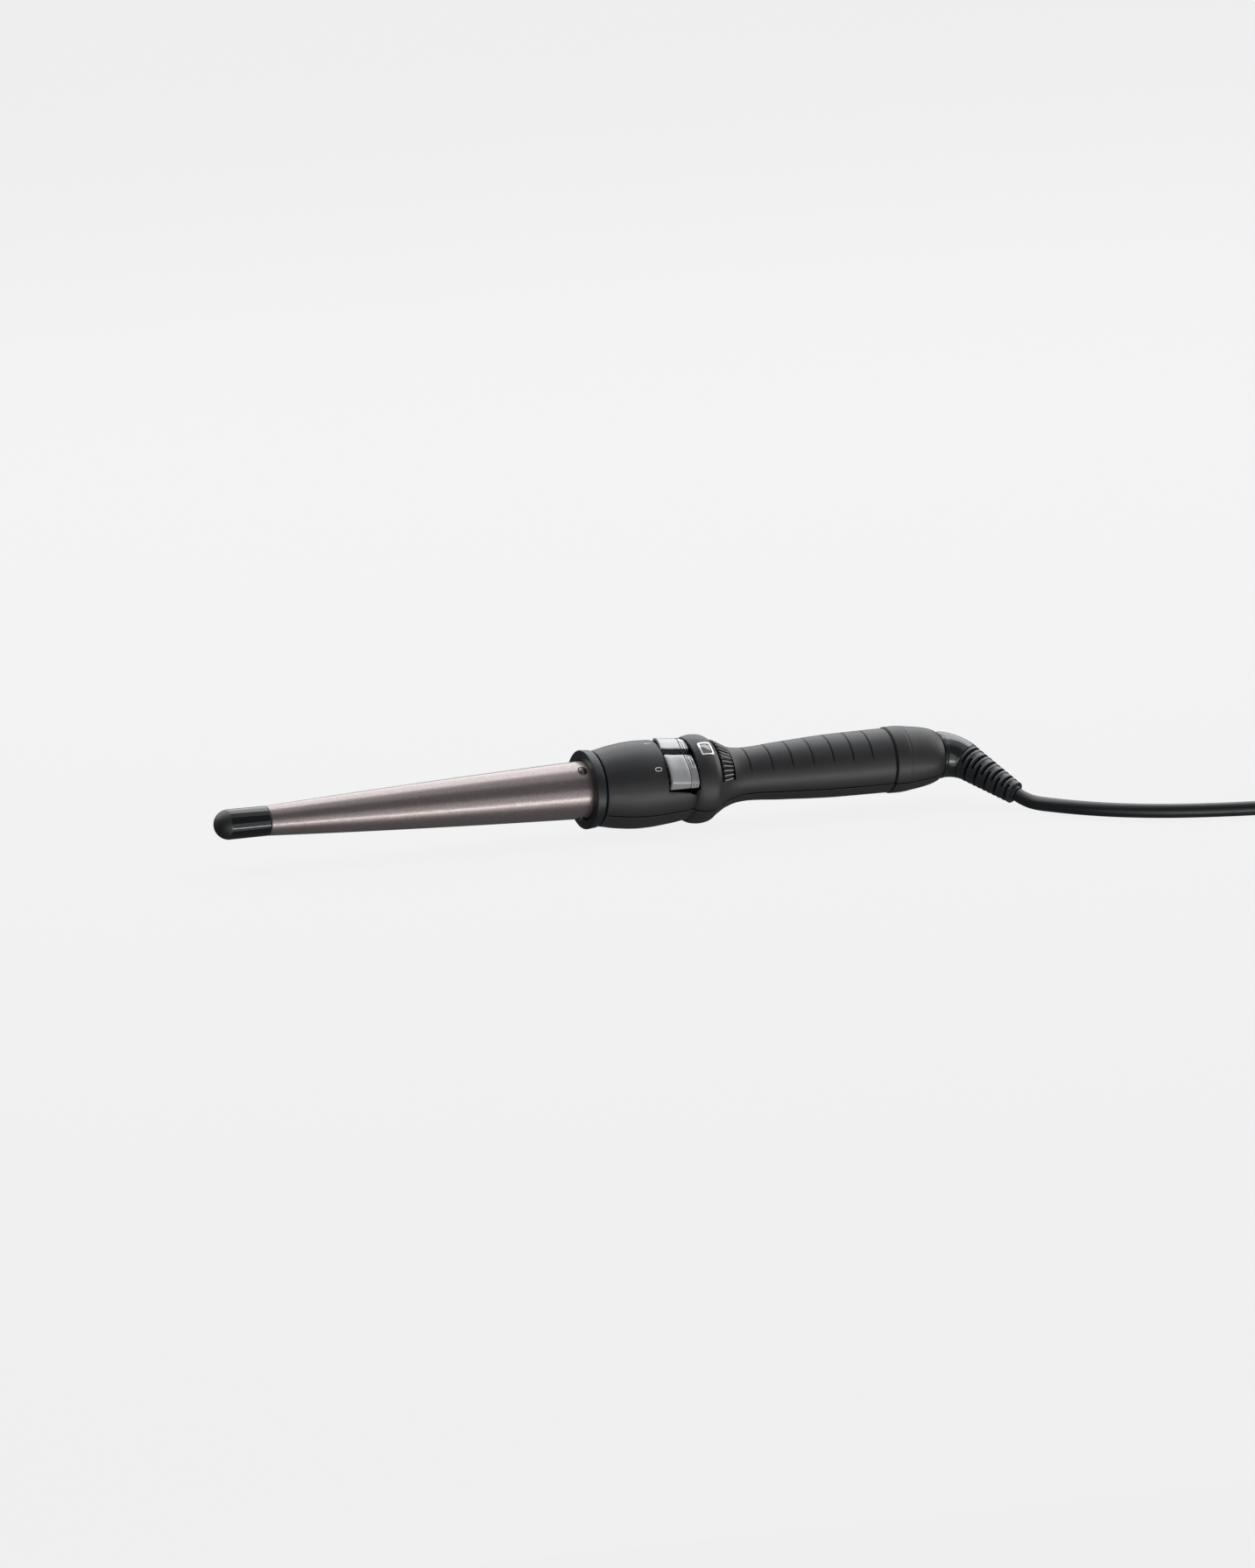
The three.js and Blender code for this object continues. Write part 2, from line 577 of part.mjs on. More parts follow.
function cordGuard() {
  const pitch = GUARD_LENGTH / GUARD_RIBS;
  const profile = [[GUARD_START, 0]];
  for (let i = 0; i < GUARD_RIBS; i += 1) {
    const start = GUARD_START + i * pitch;
    const outer = THREE.MathUtils.lerp(GUARD_START_RADIUS, GUARD_END_RADIUS, i / (GUARD_RIBS - 1));
    const root = outer - 0.9;
    profile.push([start, outer], [start + pitch * 0.6, outer]);
    if (i < GUARD_RIBS - 1) profile.push([start + pitch * 0.8, root]);
  }
  profile.push([GUARD_END, GUARD_END_RADIUS - 0.4], [GUARD_END, 0]);
  return laidAlong(turned(profile, 12), exitPlace);
}

piece(swivel, 'swivel_elbow', swivelElbow(), materials.glossBlack());
piece(swivel, 'cord_guard', cordGuard(), materials.rubber());
[314, 318.5].forEach((start, i) => {
  const ring = turned(ringProfile(start, start + 2.2, 4.5, 5.5), 24);
  piece(swivel, `slip_ring_${i + 1}`, ring, materials.brass());
  const brush = box([start + 0.3, -2, 5.9], [start + 1.9, 2, 6.5]);
  piece(wand, `contact_brush_${i + 1}`, brush, materials.brass());
});
piece(wand, 'brush_holder', box([313.5, -4, 6.9], [321.5, 4, 8.9]), materials.blackPlastic());

// ---------------------------------------------------------------- mains lead

const section = new THREE.Shape();
section.absarc(0, 0, CORD_RADIUS, 0, Math.PI * 2);

function cordTube(points, steps) {
  const route = new THREE.CatmullRomCurve3(points, false, 'centripetal');
  return new THREE.ExtrudeGeometry(section, { steps, extrudePath: route, curveSegments: 4 });
}

// Out of the guard, down to the table and along it to the coil.
const leadRoute = [
  [181.4, -28.4, 5.36], [182.5, -30.3, 4.53], [183.7, -32.2, 3.89], [184.8, -34, 3.43],
  [186.1, -35.8, 3.16], [187.6, -38.1, 3.05], [190.3, -41.7, 3.05], [195.4, -47.8, 3.05],
  [202.5, -54.9, 3.05], [211.1, -61.8, 3.05], [221.3, -68, 3.05], [232.2, -73.1, 3.05],
  [243.5, -77, 3.05], [255.1, -80.2, 3.05], [265.8, -82.5, 3.05], [275.6, -84.5, 3.06],
  [285.4, -86.6, 3.27], [295.1, -88.8, 3.63],
].map((point) => new THREE.Vector3(...point));

// A frame at the coil's centre: +x is the way the cord arrives, +y is away from the side that it arrives on.
const coil = new THREE.Group();
coil.position.copy(COIL_CENTRE);
coil.rotation.z = COIL_HEADING;
root.add(coil);

const COIL_INNER = COIL_RADIUS - COIL_COLUMNS * CORD_RADIUS;
const COIL_OUTER = COIL_RADIUS + COIL_COLUMNS * CORD_RADIUS;
const COIL_TOP = COIL_FLOOR + COIL_ROWS * 2 * CORD_RADIUS;

// A ring about Z; the lathe turns about Y, so its own +Y is stood up.
const coilRing = () => new THREE.LatheGeometry([
  [COIL_INNER, COIL_FLOOR], [COIL_OUTER, COIL_FLOOR], [COIL_OUTER, COIL_TOP], [COIL_INNER, COIL_TOP],
  [COIL_INNER, COIL_FLOOR],
].map(([r, z]) => new THREE.Vector2(r, z)), 48).rotateX(Math.PI / 2);

// The tail comes round on top of the coil's inner turns and rises to the middle of the plug.
const PLUG_LENGTH = 35;
const PLUG_HALF_WIDTH = 17.6;
const PLUG_THICKNESS = 13.7;
const PLUG_MIDDLE = COIL_TOP + GAP + PLUG_THICKNESS / 2;
const TAIL_RADIUS = COIL_INNER + CORD_RADIUS;
const TAIL_SPARE = 4; // straight stretch before the plug

function tailRoute() {
  const start = degrees(-85);
  const points = span(start, 0, 8).map((angle, i) => {
    const rise = THREE.MathUtils.smoothstep(i, 0, 8);
    const z = THREE.MathUtils.lerp(COIL_TOP + GAP + CORD_RADIUS, PLUG_MIDDLE, rise);
    return new THREE.Vector3(TAIL_RADIUS * Math.sin(angle), -TAIL_RADIUS * Math.cos(angle), z);
  });
  return [...points, new THREE.Vector3(TAIL_SPARE - GAP, -TAIL_RADIUS, PLUG_MIDDLE)];
}

function plugBody() {
  const outline = new THREE.Shape();
  outline.moveTo(0, -5.5);
  outline.lineTo(6, -6);
  outline.quadraticCurveTo(14, -9, 18, -PLUG_HALF_WIDTH + 1);
  outline.quadraticCurveTo(18.6, -PLUG_HALF_WIDTH, 21, -PLUG_HALF_WIDTH);
  outline.lineTo(PLUG_LENGTH, -PLUG_HALF_WIDTH + 1.5);
  outline.lineTo(PLUG_LENGTH, PLUG_HALF_WIDTH - 1.5);
  outline.lineTo(21, PLUG_HALF_WIDTH);
  outline.quadraticCurveTo(18.6, PLUG_HALF_WIDTH, 18, PLUG_HALF_WIDTH - 1);
  outline.quadraticCurveTo(14, 9, 6, 6);
  outline.lineTo(0, 5.5);
  outline.closePath();
  const options = { depth: PLUG_THICKNESS, bevelEnabled: false, curveSegments: 4 };
  const slab = new THREE.ExtrudeGeometry(outline, options);
  const sockets = [-1, 1].map((side) => plugRod(side, PLUG_LENGTH - 5, PLUG_LENGTH + 1, 2.3));
  return cut(slab.translate(0, 0, -PLUG_THICKNESS / 2), ...sockets);
}

const PIN_SPACING = 18.6;
const PIN_LENGTH = 19;
function plugRod(side, from, to, radius) {
  return rod([from, (side * PIN_SPACING) / 2, 0], [to, (side * PIN_SPACING) / 2, 0], radius, 14);
}

function coilTie() {
  const wall = TIE_THICKNESS;
  const halfWidth = 6;
  const inner = Math.sqrt(COIL_INNER ** 2 - halfWidth ** 2) - GAP - wall;
  const outer = COIL_OUTER + GAP + wall;
  const top = COIL_TOP + GAP + wall;
  const loop = new THREE.Shape();
  loop.moveTo(inner, 0).lineTo(outer, 0).lineTo(outer, top).lineTo(inner, top).closePath();
  const hole = new THREE.Path();
  hole.moveTo(inner + wall, wall).lineTo(inner + wall, top - wall).lineTo(outer - wall, top - wall)
    .lineTo(outer - wall, wall).closePath();
  loop.holes.push(hole);
  return extrudedAlongX(loop, -halfWidth, halfWidth);
}

piece(root, 'cord_lead', cordTube(leadRoute, 30), materials.rubber());
piece(coil, 'cord_coil', coilRing(), materials.rubber());
piece(coil, 'cord_tail', cordTube(tailRoute(), 10), materials.rubber());
piece(coil, 'cord_tie', coilTie(), materials.tie());
const plug = new THREE.Group();
plug.position.set(TAIL_SPARE, -TAIL_RADIUS, PLUG_MIDDLE);
coil.add(plug);
piece(plug, 'plug_body', plugBody(), materials.rubber());
piece(plug, 'plug_pin_left', plugRod(1, PLUG_LENGTH - 4.7, PLUG_LENGTH + PIN_LENGTH, 2), materials.brass());
piece(plug, 'plug_pin_right', plugRod(-1, PLUG_LENGTH - 4.7, PLUG_LENGTH + PIN_LENGTH, 2), materials.brass());

export default root;
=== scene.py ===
"""A conical curling wand on a pale table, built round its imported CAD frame.

Pieces of the wand are drawn in millimetres in the wand's own frame: x is the station, measured from the
pole of the tip, and +z is the controls' side. One matrix, WAND, takes them to the row frame in metres. The
elbow and its guard use SWIVEL instead, and the lead and its coil are drawn in the row frame.
"""
import json
import math

import bmesh
import bpy
from mathutils import Matrix, Vector

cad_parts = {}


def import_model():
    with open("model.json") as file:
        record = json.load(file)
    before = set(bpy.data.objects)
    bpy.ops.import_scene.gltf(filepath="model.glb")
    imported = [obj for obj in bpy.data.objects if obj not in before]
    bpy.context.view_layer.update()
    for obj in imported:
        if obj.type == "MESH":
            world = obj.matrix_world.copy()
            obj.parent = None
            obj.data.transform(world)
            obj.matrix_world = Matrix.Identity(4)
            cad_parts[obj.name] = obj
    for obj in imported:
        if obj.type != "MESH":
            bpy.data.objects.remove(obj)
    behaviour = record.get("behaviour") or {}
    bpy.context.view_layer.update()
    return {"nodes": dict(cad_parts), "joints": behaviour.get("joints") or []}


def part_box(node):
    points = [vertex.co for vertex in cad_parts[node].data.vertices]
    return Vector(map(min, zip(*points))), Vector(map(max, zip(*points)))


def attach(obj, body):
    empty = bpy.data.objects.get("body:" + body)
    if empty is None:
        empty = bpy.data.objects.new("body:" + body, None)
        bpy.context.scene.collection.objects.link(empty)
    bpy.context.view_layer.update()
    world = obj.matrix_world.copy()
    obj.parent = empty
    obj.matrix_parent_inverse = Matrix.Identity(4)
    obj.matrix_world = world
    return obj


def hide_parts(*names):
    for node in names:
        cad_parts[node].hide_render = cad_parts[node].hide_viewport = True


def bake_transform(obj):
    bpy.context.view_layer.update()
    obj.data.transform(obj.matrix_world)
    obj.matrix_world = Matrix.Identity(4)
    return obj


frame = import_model()

# ---------- frames and shared sizes

MM = 0.001
joints = {joint["name"]: joint for joint in frame["joints"]}
AXIS_POINT = Vector(joints["cord_swivel"]["pos_m"])  # a point on the wand's axis
TIP_POLE = Vector((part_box("cool_tip")[0][0], AXIS_POINT.y, AXIS_POINT.z))
CONTROL_ROLL = math.radians(35)
SWIVEL_ROLL = math.radians(-65)
TO_METRES = Matrix.Diagonal((MM, MM, MM, 1))


def rolled(angle):
    """The wand's own frame, turned about its axis."""
    return Matrix.Translation(TIP_POLE) @ Matrix.Rotation(angle, 4, "X") @ TO_METRES


WAND = rolled(CONTROL_ROLL)
SWIVEL = rolled(SWIVEL_ROLL)

BARREL_START = 23.6
COLLAR_FRONT = 168.1
COLLAR_BACK = 173.1
CASING_START = 173.4
RING_START = 213  # the casing's bulge, between its head and its grip
RING_STATION = 219.5
RING_RADIUS = 18.85
GRIP_START = 226.2
SEAM = 307.3
BAND_END = 314.4
CASING_END = 331.4

# ---------- camera

FRAME_HEIGHT = 0.6585  # metres that the picture spans at the wand
CAMERA_DISTANCE = 16.0
SENSOR = 36.0
AIM = WAND @ Vector((188.9, 0, 0)) + Vector((0, 0, 0.0006))
TO_CAMERA = Vector((-0.397, -0.891, 0.220)).normalized()

camera_data = bpy.data.cameras.new("camera")
camera_data.sensor_width = SENSOR
camera_data.lens = SENSOR * CAMERA_DISTANCE / FRAME_HEIGHT
camera_data.clip_end = 100
camera = bpy.data.objects.new("camera", camera_data)
camera.location = AIM + TO_CAMERA * CAMERA_DISTANCE
camera.rotation_euler = (-TO_CAMERA).to_track_quat("-Z", "Y").to_euler()
bpy.context.collection.objects.link(camera)
bpy.context.scene.camera = camera

# ---------- material helpers


class Finish:
    """A material's node tree, with short calls for the nodes that the finishes share."""

    def __init__(self, name, colour, roughness, metallic=0.0, **sockets):
        self.material = bpy.data.materials.new(name)
        self.material.use_nodes = True
        self.nodes = self.material.node_tree.nodes
        self.shader = self.nodes["Principled BSDF"]
        self.set("Base Color", (*colour, 1))
        self.set("Roughness", roughness)
        self.set("Metallic", metallic)
        for socket, value in sockets.items():
            self.set(socket.replace("_", " "), value)
        self.coordinates = self.nodes.new("ShaderNodeTexCoord").outputs["Object"]

    def set(self, socket, value):
        self.shader.inputs[socket].default_value = value

    def link(self, source, target):
        self.material.node_tree.links.new(source, target)

    def node(self, kind, **inputs):
        node = self.nodes.new(kind)
        for key, value in inputs.items():
            node.inputs[key.replace("_", " ")].default_value = value
        return node

    def stretched(self, scale):
        mapping = self.node("ShaderNodeMapping", Scale=scale)
        self.link(self.coordinates, mapping.inputs["Vector"])
        return mapping.outputs["Vector"]

    def noise(self, scale, detail=3.0, stretch=(1, 1, 1)):
        noise = self.node("ShaderNodeTexNoise", Scale=scale, Detail=detail, Roughness=0.6)
        self.link(self.stretched(stretch), noise.inputs["Vector"])
        return noise.outputs["Fac"]

    def ramp(self, source, low, high, start=0.0, end=1.0):
        """Maps a factor between two values, or between two colours."""
        colours = isinstance(low, tuple)
        ramp = self.nodes.new("ShaderNodeValToRGB")
        for element, position, value in zip(ramp.color_ramp.elements, (start, end), (low, high)):
            element.position = position
            element.color = (*value, 1) if colours else (value, value, value, 1)
        self.link(source, ramp.inputs["Fac"])
        return ramp.outputs["Color"]

    def drive(self, socket, source):
        self.link(source, self.shader.inputs[socket])

    def bump(self, source, height, strength=1.0):
        """Raises the surface by up to height metres where the source is 1."""
        bump = self.node("ShaderNodeBump", Height=0.0, Distance=height, Strength=strength)
        if self.shader.inputs["Normal"].links:
            self.link(self.shader.inputs["Normal"].links[0].from_socket, bump.inputs["Normal"])
        self.link(source, bump.inputs["Height"])
        self.link(bump.outputs["Normal"], self.shader.inputs["Normal"])


def grained(name, colour, roughness, grain=0.00002, grain_scale=5000, spread=0.12, metallic=0.0, **sockets):
    """A moulded surface: fine grain, and roughness and colour that vary a little in broad patches."""
    finish = Finish(name, colour, roughness, metallic, **sockets)
    broad = finish.noise(60, 2)
    light = tuple(min(1, c * (1 + spread)) for c in colour)
    dark = tuple(c * (1 - spread) for c in colour)
    finish.drive("Base Color", finish.ramp(broad, dark, light, 0.3, 0.7))
    fine = finish.noise(grain_scale, 2)
    finish.drive("Roughness", finish.ramp(fine, roughness * 0.92, min(1, roughness * 1.08), 0.3, 0.7))
    finish.bump(fine, grain)
    return finish.material


def barrel_coating():
    """Rosy grey mineral coating over metal: a satin sheen with a fine sparkle drawn out round it."""
    finish = Finish("barrel_coating", (0.42, 0.36, 0.35), 0.3, metallic=0.72, Coat_Weight=0.2,
                    Coat_Roughness=0.16)
    flakes = finish.noise(2600, 2, stretch=(1, 0.35, 0.35))
    broad = finish.noise(25, 2)
    finish.drive("Base Color", finish.ramp(flakes, (0.285, 0.238, 0.233), (0.375, 0.32, 0.315), 0.35, 0.65))
    finish.drive("Roughness", finish.ramp(broad, 0.29, 0.32, 0.35, 0.65))
    finish.bump(flakes, 0.0000008)
    return finish.material


def tip_black(matte_end):
    """Gloss black whose rounded end, below the station matte_end, is matte."""
    finish = Finish("tip_black", (0.011, 0.012, 0.013), 0.08, IOR=1.6)
    split = finish.nodes.new("ShaderNodeSeparateXYZ")
    finish.link(finish.coordinates, split.inputs["Vector"])
    edge = TIP_POLE.x + matte_end * MM
    blend = finish.node("ShaderNodeMapRange", From_Min=edge - 0.0004, From_Max=edge + 0.0004)
    finish.link(split.outputs["X"], blend.inputs["Value"])
    gloss = blend.outputs["Result"]
    finish.drive("Roughness", finish.ramp(gloss, 0.5, 0.07))
    finish.drive("Base Color", finish.ramp(gloss, (0.018, 0.018, 0.019), (0.010, 0.011, 0.012)))
    finish.bump(finish.noise(4000, 2), 0.0000006)
    return finish.material


def woven(name, colour):
    """Cloth with threads both ways."""
    finish = Finish(name, colour, 0.85)
    waves = []
    for stretch in ((1, 0, 0), (0, 1, 0)):
        wave = finish.node("ShaderNodeTexWave", Scale=450, Distortion=0.4)
        finish.link(finish.stretched(stretch), wave.inputs["Vector"])
        waves.append(wave.outputs["Fac"])
    weave = finish.nodes.new("ShaderNodeMath")
    weave.operation = "MULTIPLY"
    finish.link(waves[0], weave.inputs[0])
    finish.link(waves[1], weave.inputs[1])
    finish.drive("Base Color", finish.ramp(weave.outputs[0], tuple(c * 0.6 for c in colour), colour))
    finish.bump(weave.outputs[0], 0.0002)
    return finish.material


def brushed(name, colour, roughness=0.3):
    """Bare metal with fine lines along the wand."""
    finish = Finish(name, colour, roughness, metallic=1.0)
    lines = finish.noise(900, 3, stretch=(1, 40, 40))
    finish.drive("Roughness", finish.ramp(lines, roughness * 0.7, roughness * 1.4, 0.3, 0.7))
    finish.drive("Base Color", finish.ramp(lines, tuple(c * 0.85 for c in colour), colour, 0.3, 0.7))
    finish.bump(lines, 0.000005)
    return finish.material


def clear_plastic(name, tint, clear, roughness=0.04, ior=1.49):
    """Tinted plastic that lets light through by the share clear."""
    finish = Finish(name, tint, roughness, Transmission_Weight=clear, IOR=ior)
    finish.drive("Roughness", finish.ramp(finish.noise(300, 2), roughness, roughness * 2.5, 0.4, 0.8))
    return finish.material


MATERIALS = {
    "barrel": barrel_coating(),
    "tip": tip_black(matte_end=5.6),
    "gloss": grained("gloss_black", (0.011, 0.012, 0.013), 0.22, grain=0.0000005, grain_scale=2500, IOR=1.8),
    "soft_touch": grained("soft_touch", (0.029, 0.029, 0.0305), 0.45, grain=0.000006, grain_scale=6000,
                          spread=0.05),
    "collar": grained("collar", (0.014, 0.017, 0.019), 0.4, grain=0.000012, grain_scale=4500),
    "silver": grained("rocker_silver", (0.47, 0.47, 0.48), 0.32, grain=0.000004, grain_scale=6000,
                      spread=0.03, metallic=0.25),
    # painted shade: the dark colour given to the roll between the rocker's lobes
    "valley": grained("rocker_valley", (0.035, 0.036, 0.038), 0.3, grain=0.000004, spread=0.05),
    "clear": clear_plastic("clear_plastic", (0.70, 0.71, 0.73), 0.7),
    "smoke": clear_plastic("smoked_pane", (0.10, 0.10, 0.105), 0.3, 0.05, 2.3),
    "mark": grained("white_mark", (0.86, 0.86, 0.85), 0.5, grain=0.000004, spread=0.05),
    "trim": grained("bright_trim", (0.93, 0.93, 0.93), 0.2, grain=0.000002, spread=0.03, metallic=1.0),
    # painted shade: a near-black finish for the strips that darken the gap between the shells
    "shade": grained("parting_shade", (0.003, 0.003, 0.003), 0.8, grain=0.000004,
                     Specular_IOR_Level=0.1),
    "lamp": grained("red_lamp", (0.55, 0.05, 0.03), 0.25, grain=0.000003),
    "dial": grained("dial_rubber", (0.009, 0.009, 0.010), 0.24, grain=0.000003, IOR=1.65),
    "rubber": grained("cord_rubber", (0.014, 0.015, 0.016), 0.34, grain=0.000005, grain_scale=3500),
    "guard": grained("guard_rubber", (0.024, 0.026, 0.028), 0.36, grain=0.000004, grain_scale=3500,
                     IOR=1.6),
    "tie": woven("tie_strap", (0.030, 0.030, 0.033)),
    "steel": brushed("steel", (0.50, 0.50, 0.51)),
    "screw": brushed("blackened_steel", (0.16, 0.155, 0.15), 0.24),
    "brass": brushed("brass", (0.76, 0.62, 0.36), 0.22),
    "aluminium": brushed("aluminium", (0.72, 0.73, 0.74), 0.35),
    "ceramic": grained("ceramic", (0.74, 0.70, 0.62), 0.7, grain=0.00003),
    "board": grained("board", (0.02, 0.16, 0.06), 0.4, spread=0.3),
    "plastic": grained("black_plastic", (0.022, 0.022, 0.024), 0.5),
    "sleeve": woven("glass_sleeve", (0.80, 0.80, 0.77)),
}

# ---------- mesh helpers


def build(name, bm, matrix, material, body, stands_for=(), bevel=0.0, sharp=35):
    """Makes the piece from a bmesh drawn in millimetres: rounds its sharp edges, places it and rides it."""
    limit = math.radians(sharp)
    bmesh.ops.recalc_face_normals(bm, faces=bm.faces)
    if bevel:
        edges = [e for e in bm.edges if e.is_manifold and e.calc_face_angle(0) > limit]
        bmesh.ops.bevel(bm, geom=edges, offset=bevel, segments=2, profile=0.5, affect="EDGES",
                        clamp_overlap=True)
    for face in bm.faces:
        face.smooth = True
    for edge in bm.edges:
        edge.smooth = not (edge.is_manifold and edge.calc_face_angle(0) > limit)
    mesh = bpy.data.meshes.new(name)
    bm.to_mesh(mesh)
    bm.free()
    mesh.transform(matrix)
    piece = bpy.data.objects.new(name, mesh)
    piece.data.materials.append(MATERIALS[material])
    bpy.context.collection.objects.link(piece)
    if body:
        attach(piece, body)
    if stands_for:
        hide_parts(*stands_for)
    return piece


def skin(bm, rings, closed=False):
    """Joins each ring of vertices to the next with faces, and the last to the first if closed."""
    pairs = list(zip(rings, rings[1:]))
    if closed:
        pairs.append((rings[-1], rings[0]))
    for a, b in pairs:
        for i in range(len(a)):
            j = (i + 1) % len(a)
            bm.faces.new((a[i], a[j], b[j], b[i]))


def unit_outline(power, count):
    """Points round a superellipse one unit in radius. Power 2 is a circle, more is boxier."""
    points = []
    for i in range(count):
        t = math.tau * i / count
        c, s = math.cos(t), math.sin(t)
        points.append((math.copysign(abs(c) ** (2 / power), c), math.copysign(abs(s) ** (2 / power), s)))
    return points


def evaluated_mesh(thing):
    """A mesh of the object as its modifiers, or its text, leave it."""
    bpy.context.view_layer.update()
    graph = bpy.context.evaluated_depsgraph_get()
    return bpy.data.meshes.new_from_object(thing.evaluated_get(graph))


def polar(station, radius, angle):
    """A point at an angle from the controls' side, positive away from the picture's side."""
    return Vector((station, radius * math.sin(angle), radius * math.cos(angle)))


def turned(profile, segments=96, offset=0.0):
    """A closed body of revolution about X, or about a line offset towards +z. The profile ends on the axis,
    or closes on itself."""
    bm = bmesh.new()
    rings = []
    for station, radius in profile:
        if radius < 1e-6:
            rings.append([bm.verts.new((station, 0, offset))])
            continue
        ring = []
        for i in range(segments):
            point = polar(station, radius, math.tau * i / segments)
            ring.append(bm.verts.new(point + Vector((0, 0, offset))))
        rings.append(ring)
    pairs = list(zip(rings, rings[1:]))
    if len(rings[0]) > 1:
        pairs.append((rings[-1], rings[0]))
    for a, b in pairs:
        for i in range(segments):
            j = (i + 1) % segments
            corners = [a[i % len(a)], a[j % len(a)], b[j % len(b)], b[i % len(b)]]
            unique = list(dict.fromkeys(corners))
            if len(unique) > 2:
                bm.faces.new(unique)
    return bm


def rounded(points, radius, steps=3):
    """The open outline with each inner corner rounded to the radius."""
    result = [Vector(points[0])]
    for before, corner, after in zip(points, points[1:], points[2:]):
        corner = Vector(corner)
        to_before = Vector(before) - corner
        to_after = Vector(after) - corner
        reach = min(radius, to_before.length * 0.45, to_after.length * 0.45)
        start = corner + to_before.normalized() * reach
        end = corner + to_after.normalized() * reach
        for i in range(steps + 1):
            t = i / steps
            result.append(start * (1 - t) ** 2 + corner * 2 * t * (1 - t) + end * t ** 2)
    result.append(Vector(points[-1]))
    return [tuple(p) for p in result]


def monotone(points):
    """A smooth curve through (station, radius) points that adds no hump between them."""
    xs, ys = zip(*points)
    steps = [(y1 - y0) / (x1 - x0) for x0, x1, y0, y1 in zip(xs, xs[1:], ys, ys[1:])]
    slopes = [steps[0]]
    for before, after in zip(steps, steps[1:]):
        slopes.append(0 if before * after <= 0 else 2 * before * after / (before + after))
    slopes.append(steps[-1])

    def value(x):
        k = next((i for i in range(len(xs) - 2) if x < xs[i + 1]), len(xs) - 2)
        width = xs[k + 1] - xs[k]
        t = min(1, max(0, (x - xs[k]) / width))
        a = ys[k] * (1 + 2 * t) * (1 - t) ** 2 + ys[k + 1] * t * t * (3 - 2 * t)
        return a + width * (slopes[k] * t * (1 - t) ** 2 - slopes[k + 1] * t * t * (1 - t))

    return value


def smoothstep(low, high, value):
    """0 up to low, 1 from high on, and a smooth rise between."""
    t = min(1, max(0, (value - low) / (high - low)))
    return t * t * (3 - 2 * t)


def spread(start, end, steps):
    """The ends of a number of equal steps from start to end."""
    return [start + (end - start) * i / steps for i in range(steps + 1)]


# ---------- barrel, tip and collar

TIP_RADIUS = 6.4
BARREL_TIP_RADIUS = 6.3
BARREL_BASE_RADIUS = 12.2
BARREL_CROWN = 0.43
BARREL_WALL = 1.2
SCREW_STATION = 165.2


def barrel_radius(station):
    """The cone's radius, a little crowned between its ends."""
    u = (station - BARREL_START) / (COLLAR_FRONT - BARREL_START)
    return BARREL_TIP_RADIUS + (BARREL_BASE_RADIUS - BARREL_TIP_RADIUS) * u + BARREL_CROWN * 4 * u * (1 - u)


def cool_tip():
    """The tip's dome and side, with the spigot that plugs into the barrel."""
    spigot_radius, spigot_length = 4.8, 10
    dome = [(TIP_RADIUS * (1 - math.cos(a)), TIP_RADIUS * math.sin(a)) for a in spread(0, math.pi / 2, 24)]
    end = BARREL_START - 0.25
    neck = rounded([
        dome[-1], (end, BARREL_TIP_RADIUS), (end, spigot_radius), (end + spigot_length, spigot_radius),
        (end + spigot_length, 0),
    ], 0.25)
    build("cool_tip_shape", turned(dome + neck[1:]), WAND, "tip", "wand", ["cool_tip"])


def barrel():
    """The hollow cone, whose base runs on inside the collar and the casing."""
    base = 180
    outer = [(s, barrel_radius(s)) for s in spread(BARREL_START, base, 40)]
    inner = [(s, barrel_radius(s) - BARREL_WALL) for s in (base, 100, BARREL_START)]
    profile = rounded([*inner[-1:], *outer[:2]], 0.25)[1:-1] + outer[1:] + inner
    build("barrel_shape", turned(profile, 128), WAND, "barrel", "wand", ["barrel"])


def collar():
    """The cool collar: a dark front face, a rim, and a recess between the rim and the casing."""
    seat = barrel_radius(COLLAR_FRONT) + 0.3
    rim_end = COLLAR_BACK - 0.75
    profile = rounded([
        (COLLAR_BACK + 4, seat + 0.4), (COLLAR_FRONT + 0.5, seat), (COLLAR_FRONT, seat + 0.5),
        (COLLAR_FRONT, 16.5), (COLLAR_FRONT + 0.3, 16.75), (rim_end - 0.3, 16.35),
        (rim_end, 16.0), (rim_end, 14.9), (COLLAR_BACK, 14.9), (COLLAR_BACK, 14.5), (COLLAR_BACK + 4, 14.5),
        (COLLAR_BACK + 4, seat + 0.5),
    ], 0.25)
    build("collar_shape", turned(profile, 128), WAND, "collar", "wand", ["collar"])


def cross_outline(radius):
    """The outline of a cross-shaped pit: each arm's two end corners, and the corner before the next arm."""
    arm, half = radius, radius * 0.24
    corners = []
    for quarter in range(4):
        turn = quarter * math.pi / 2
        c, s = math.cos(turn), math.sin(turn)
        for x, y in ((arm, -half), (arm, half), (half, half)):
            corners.append((x * c - y * s, x * s + y * c))
    return corners


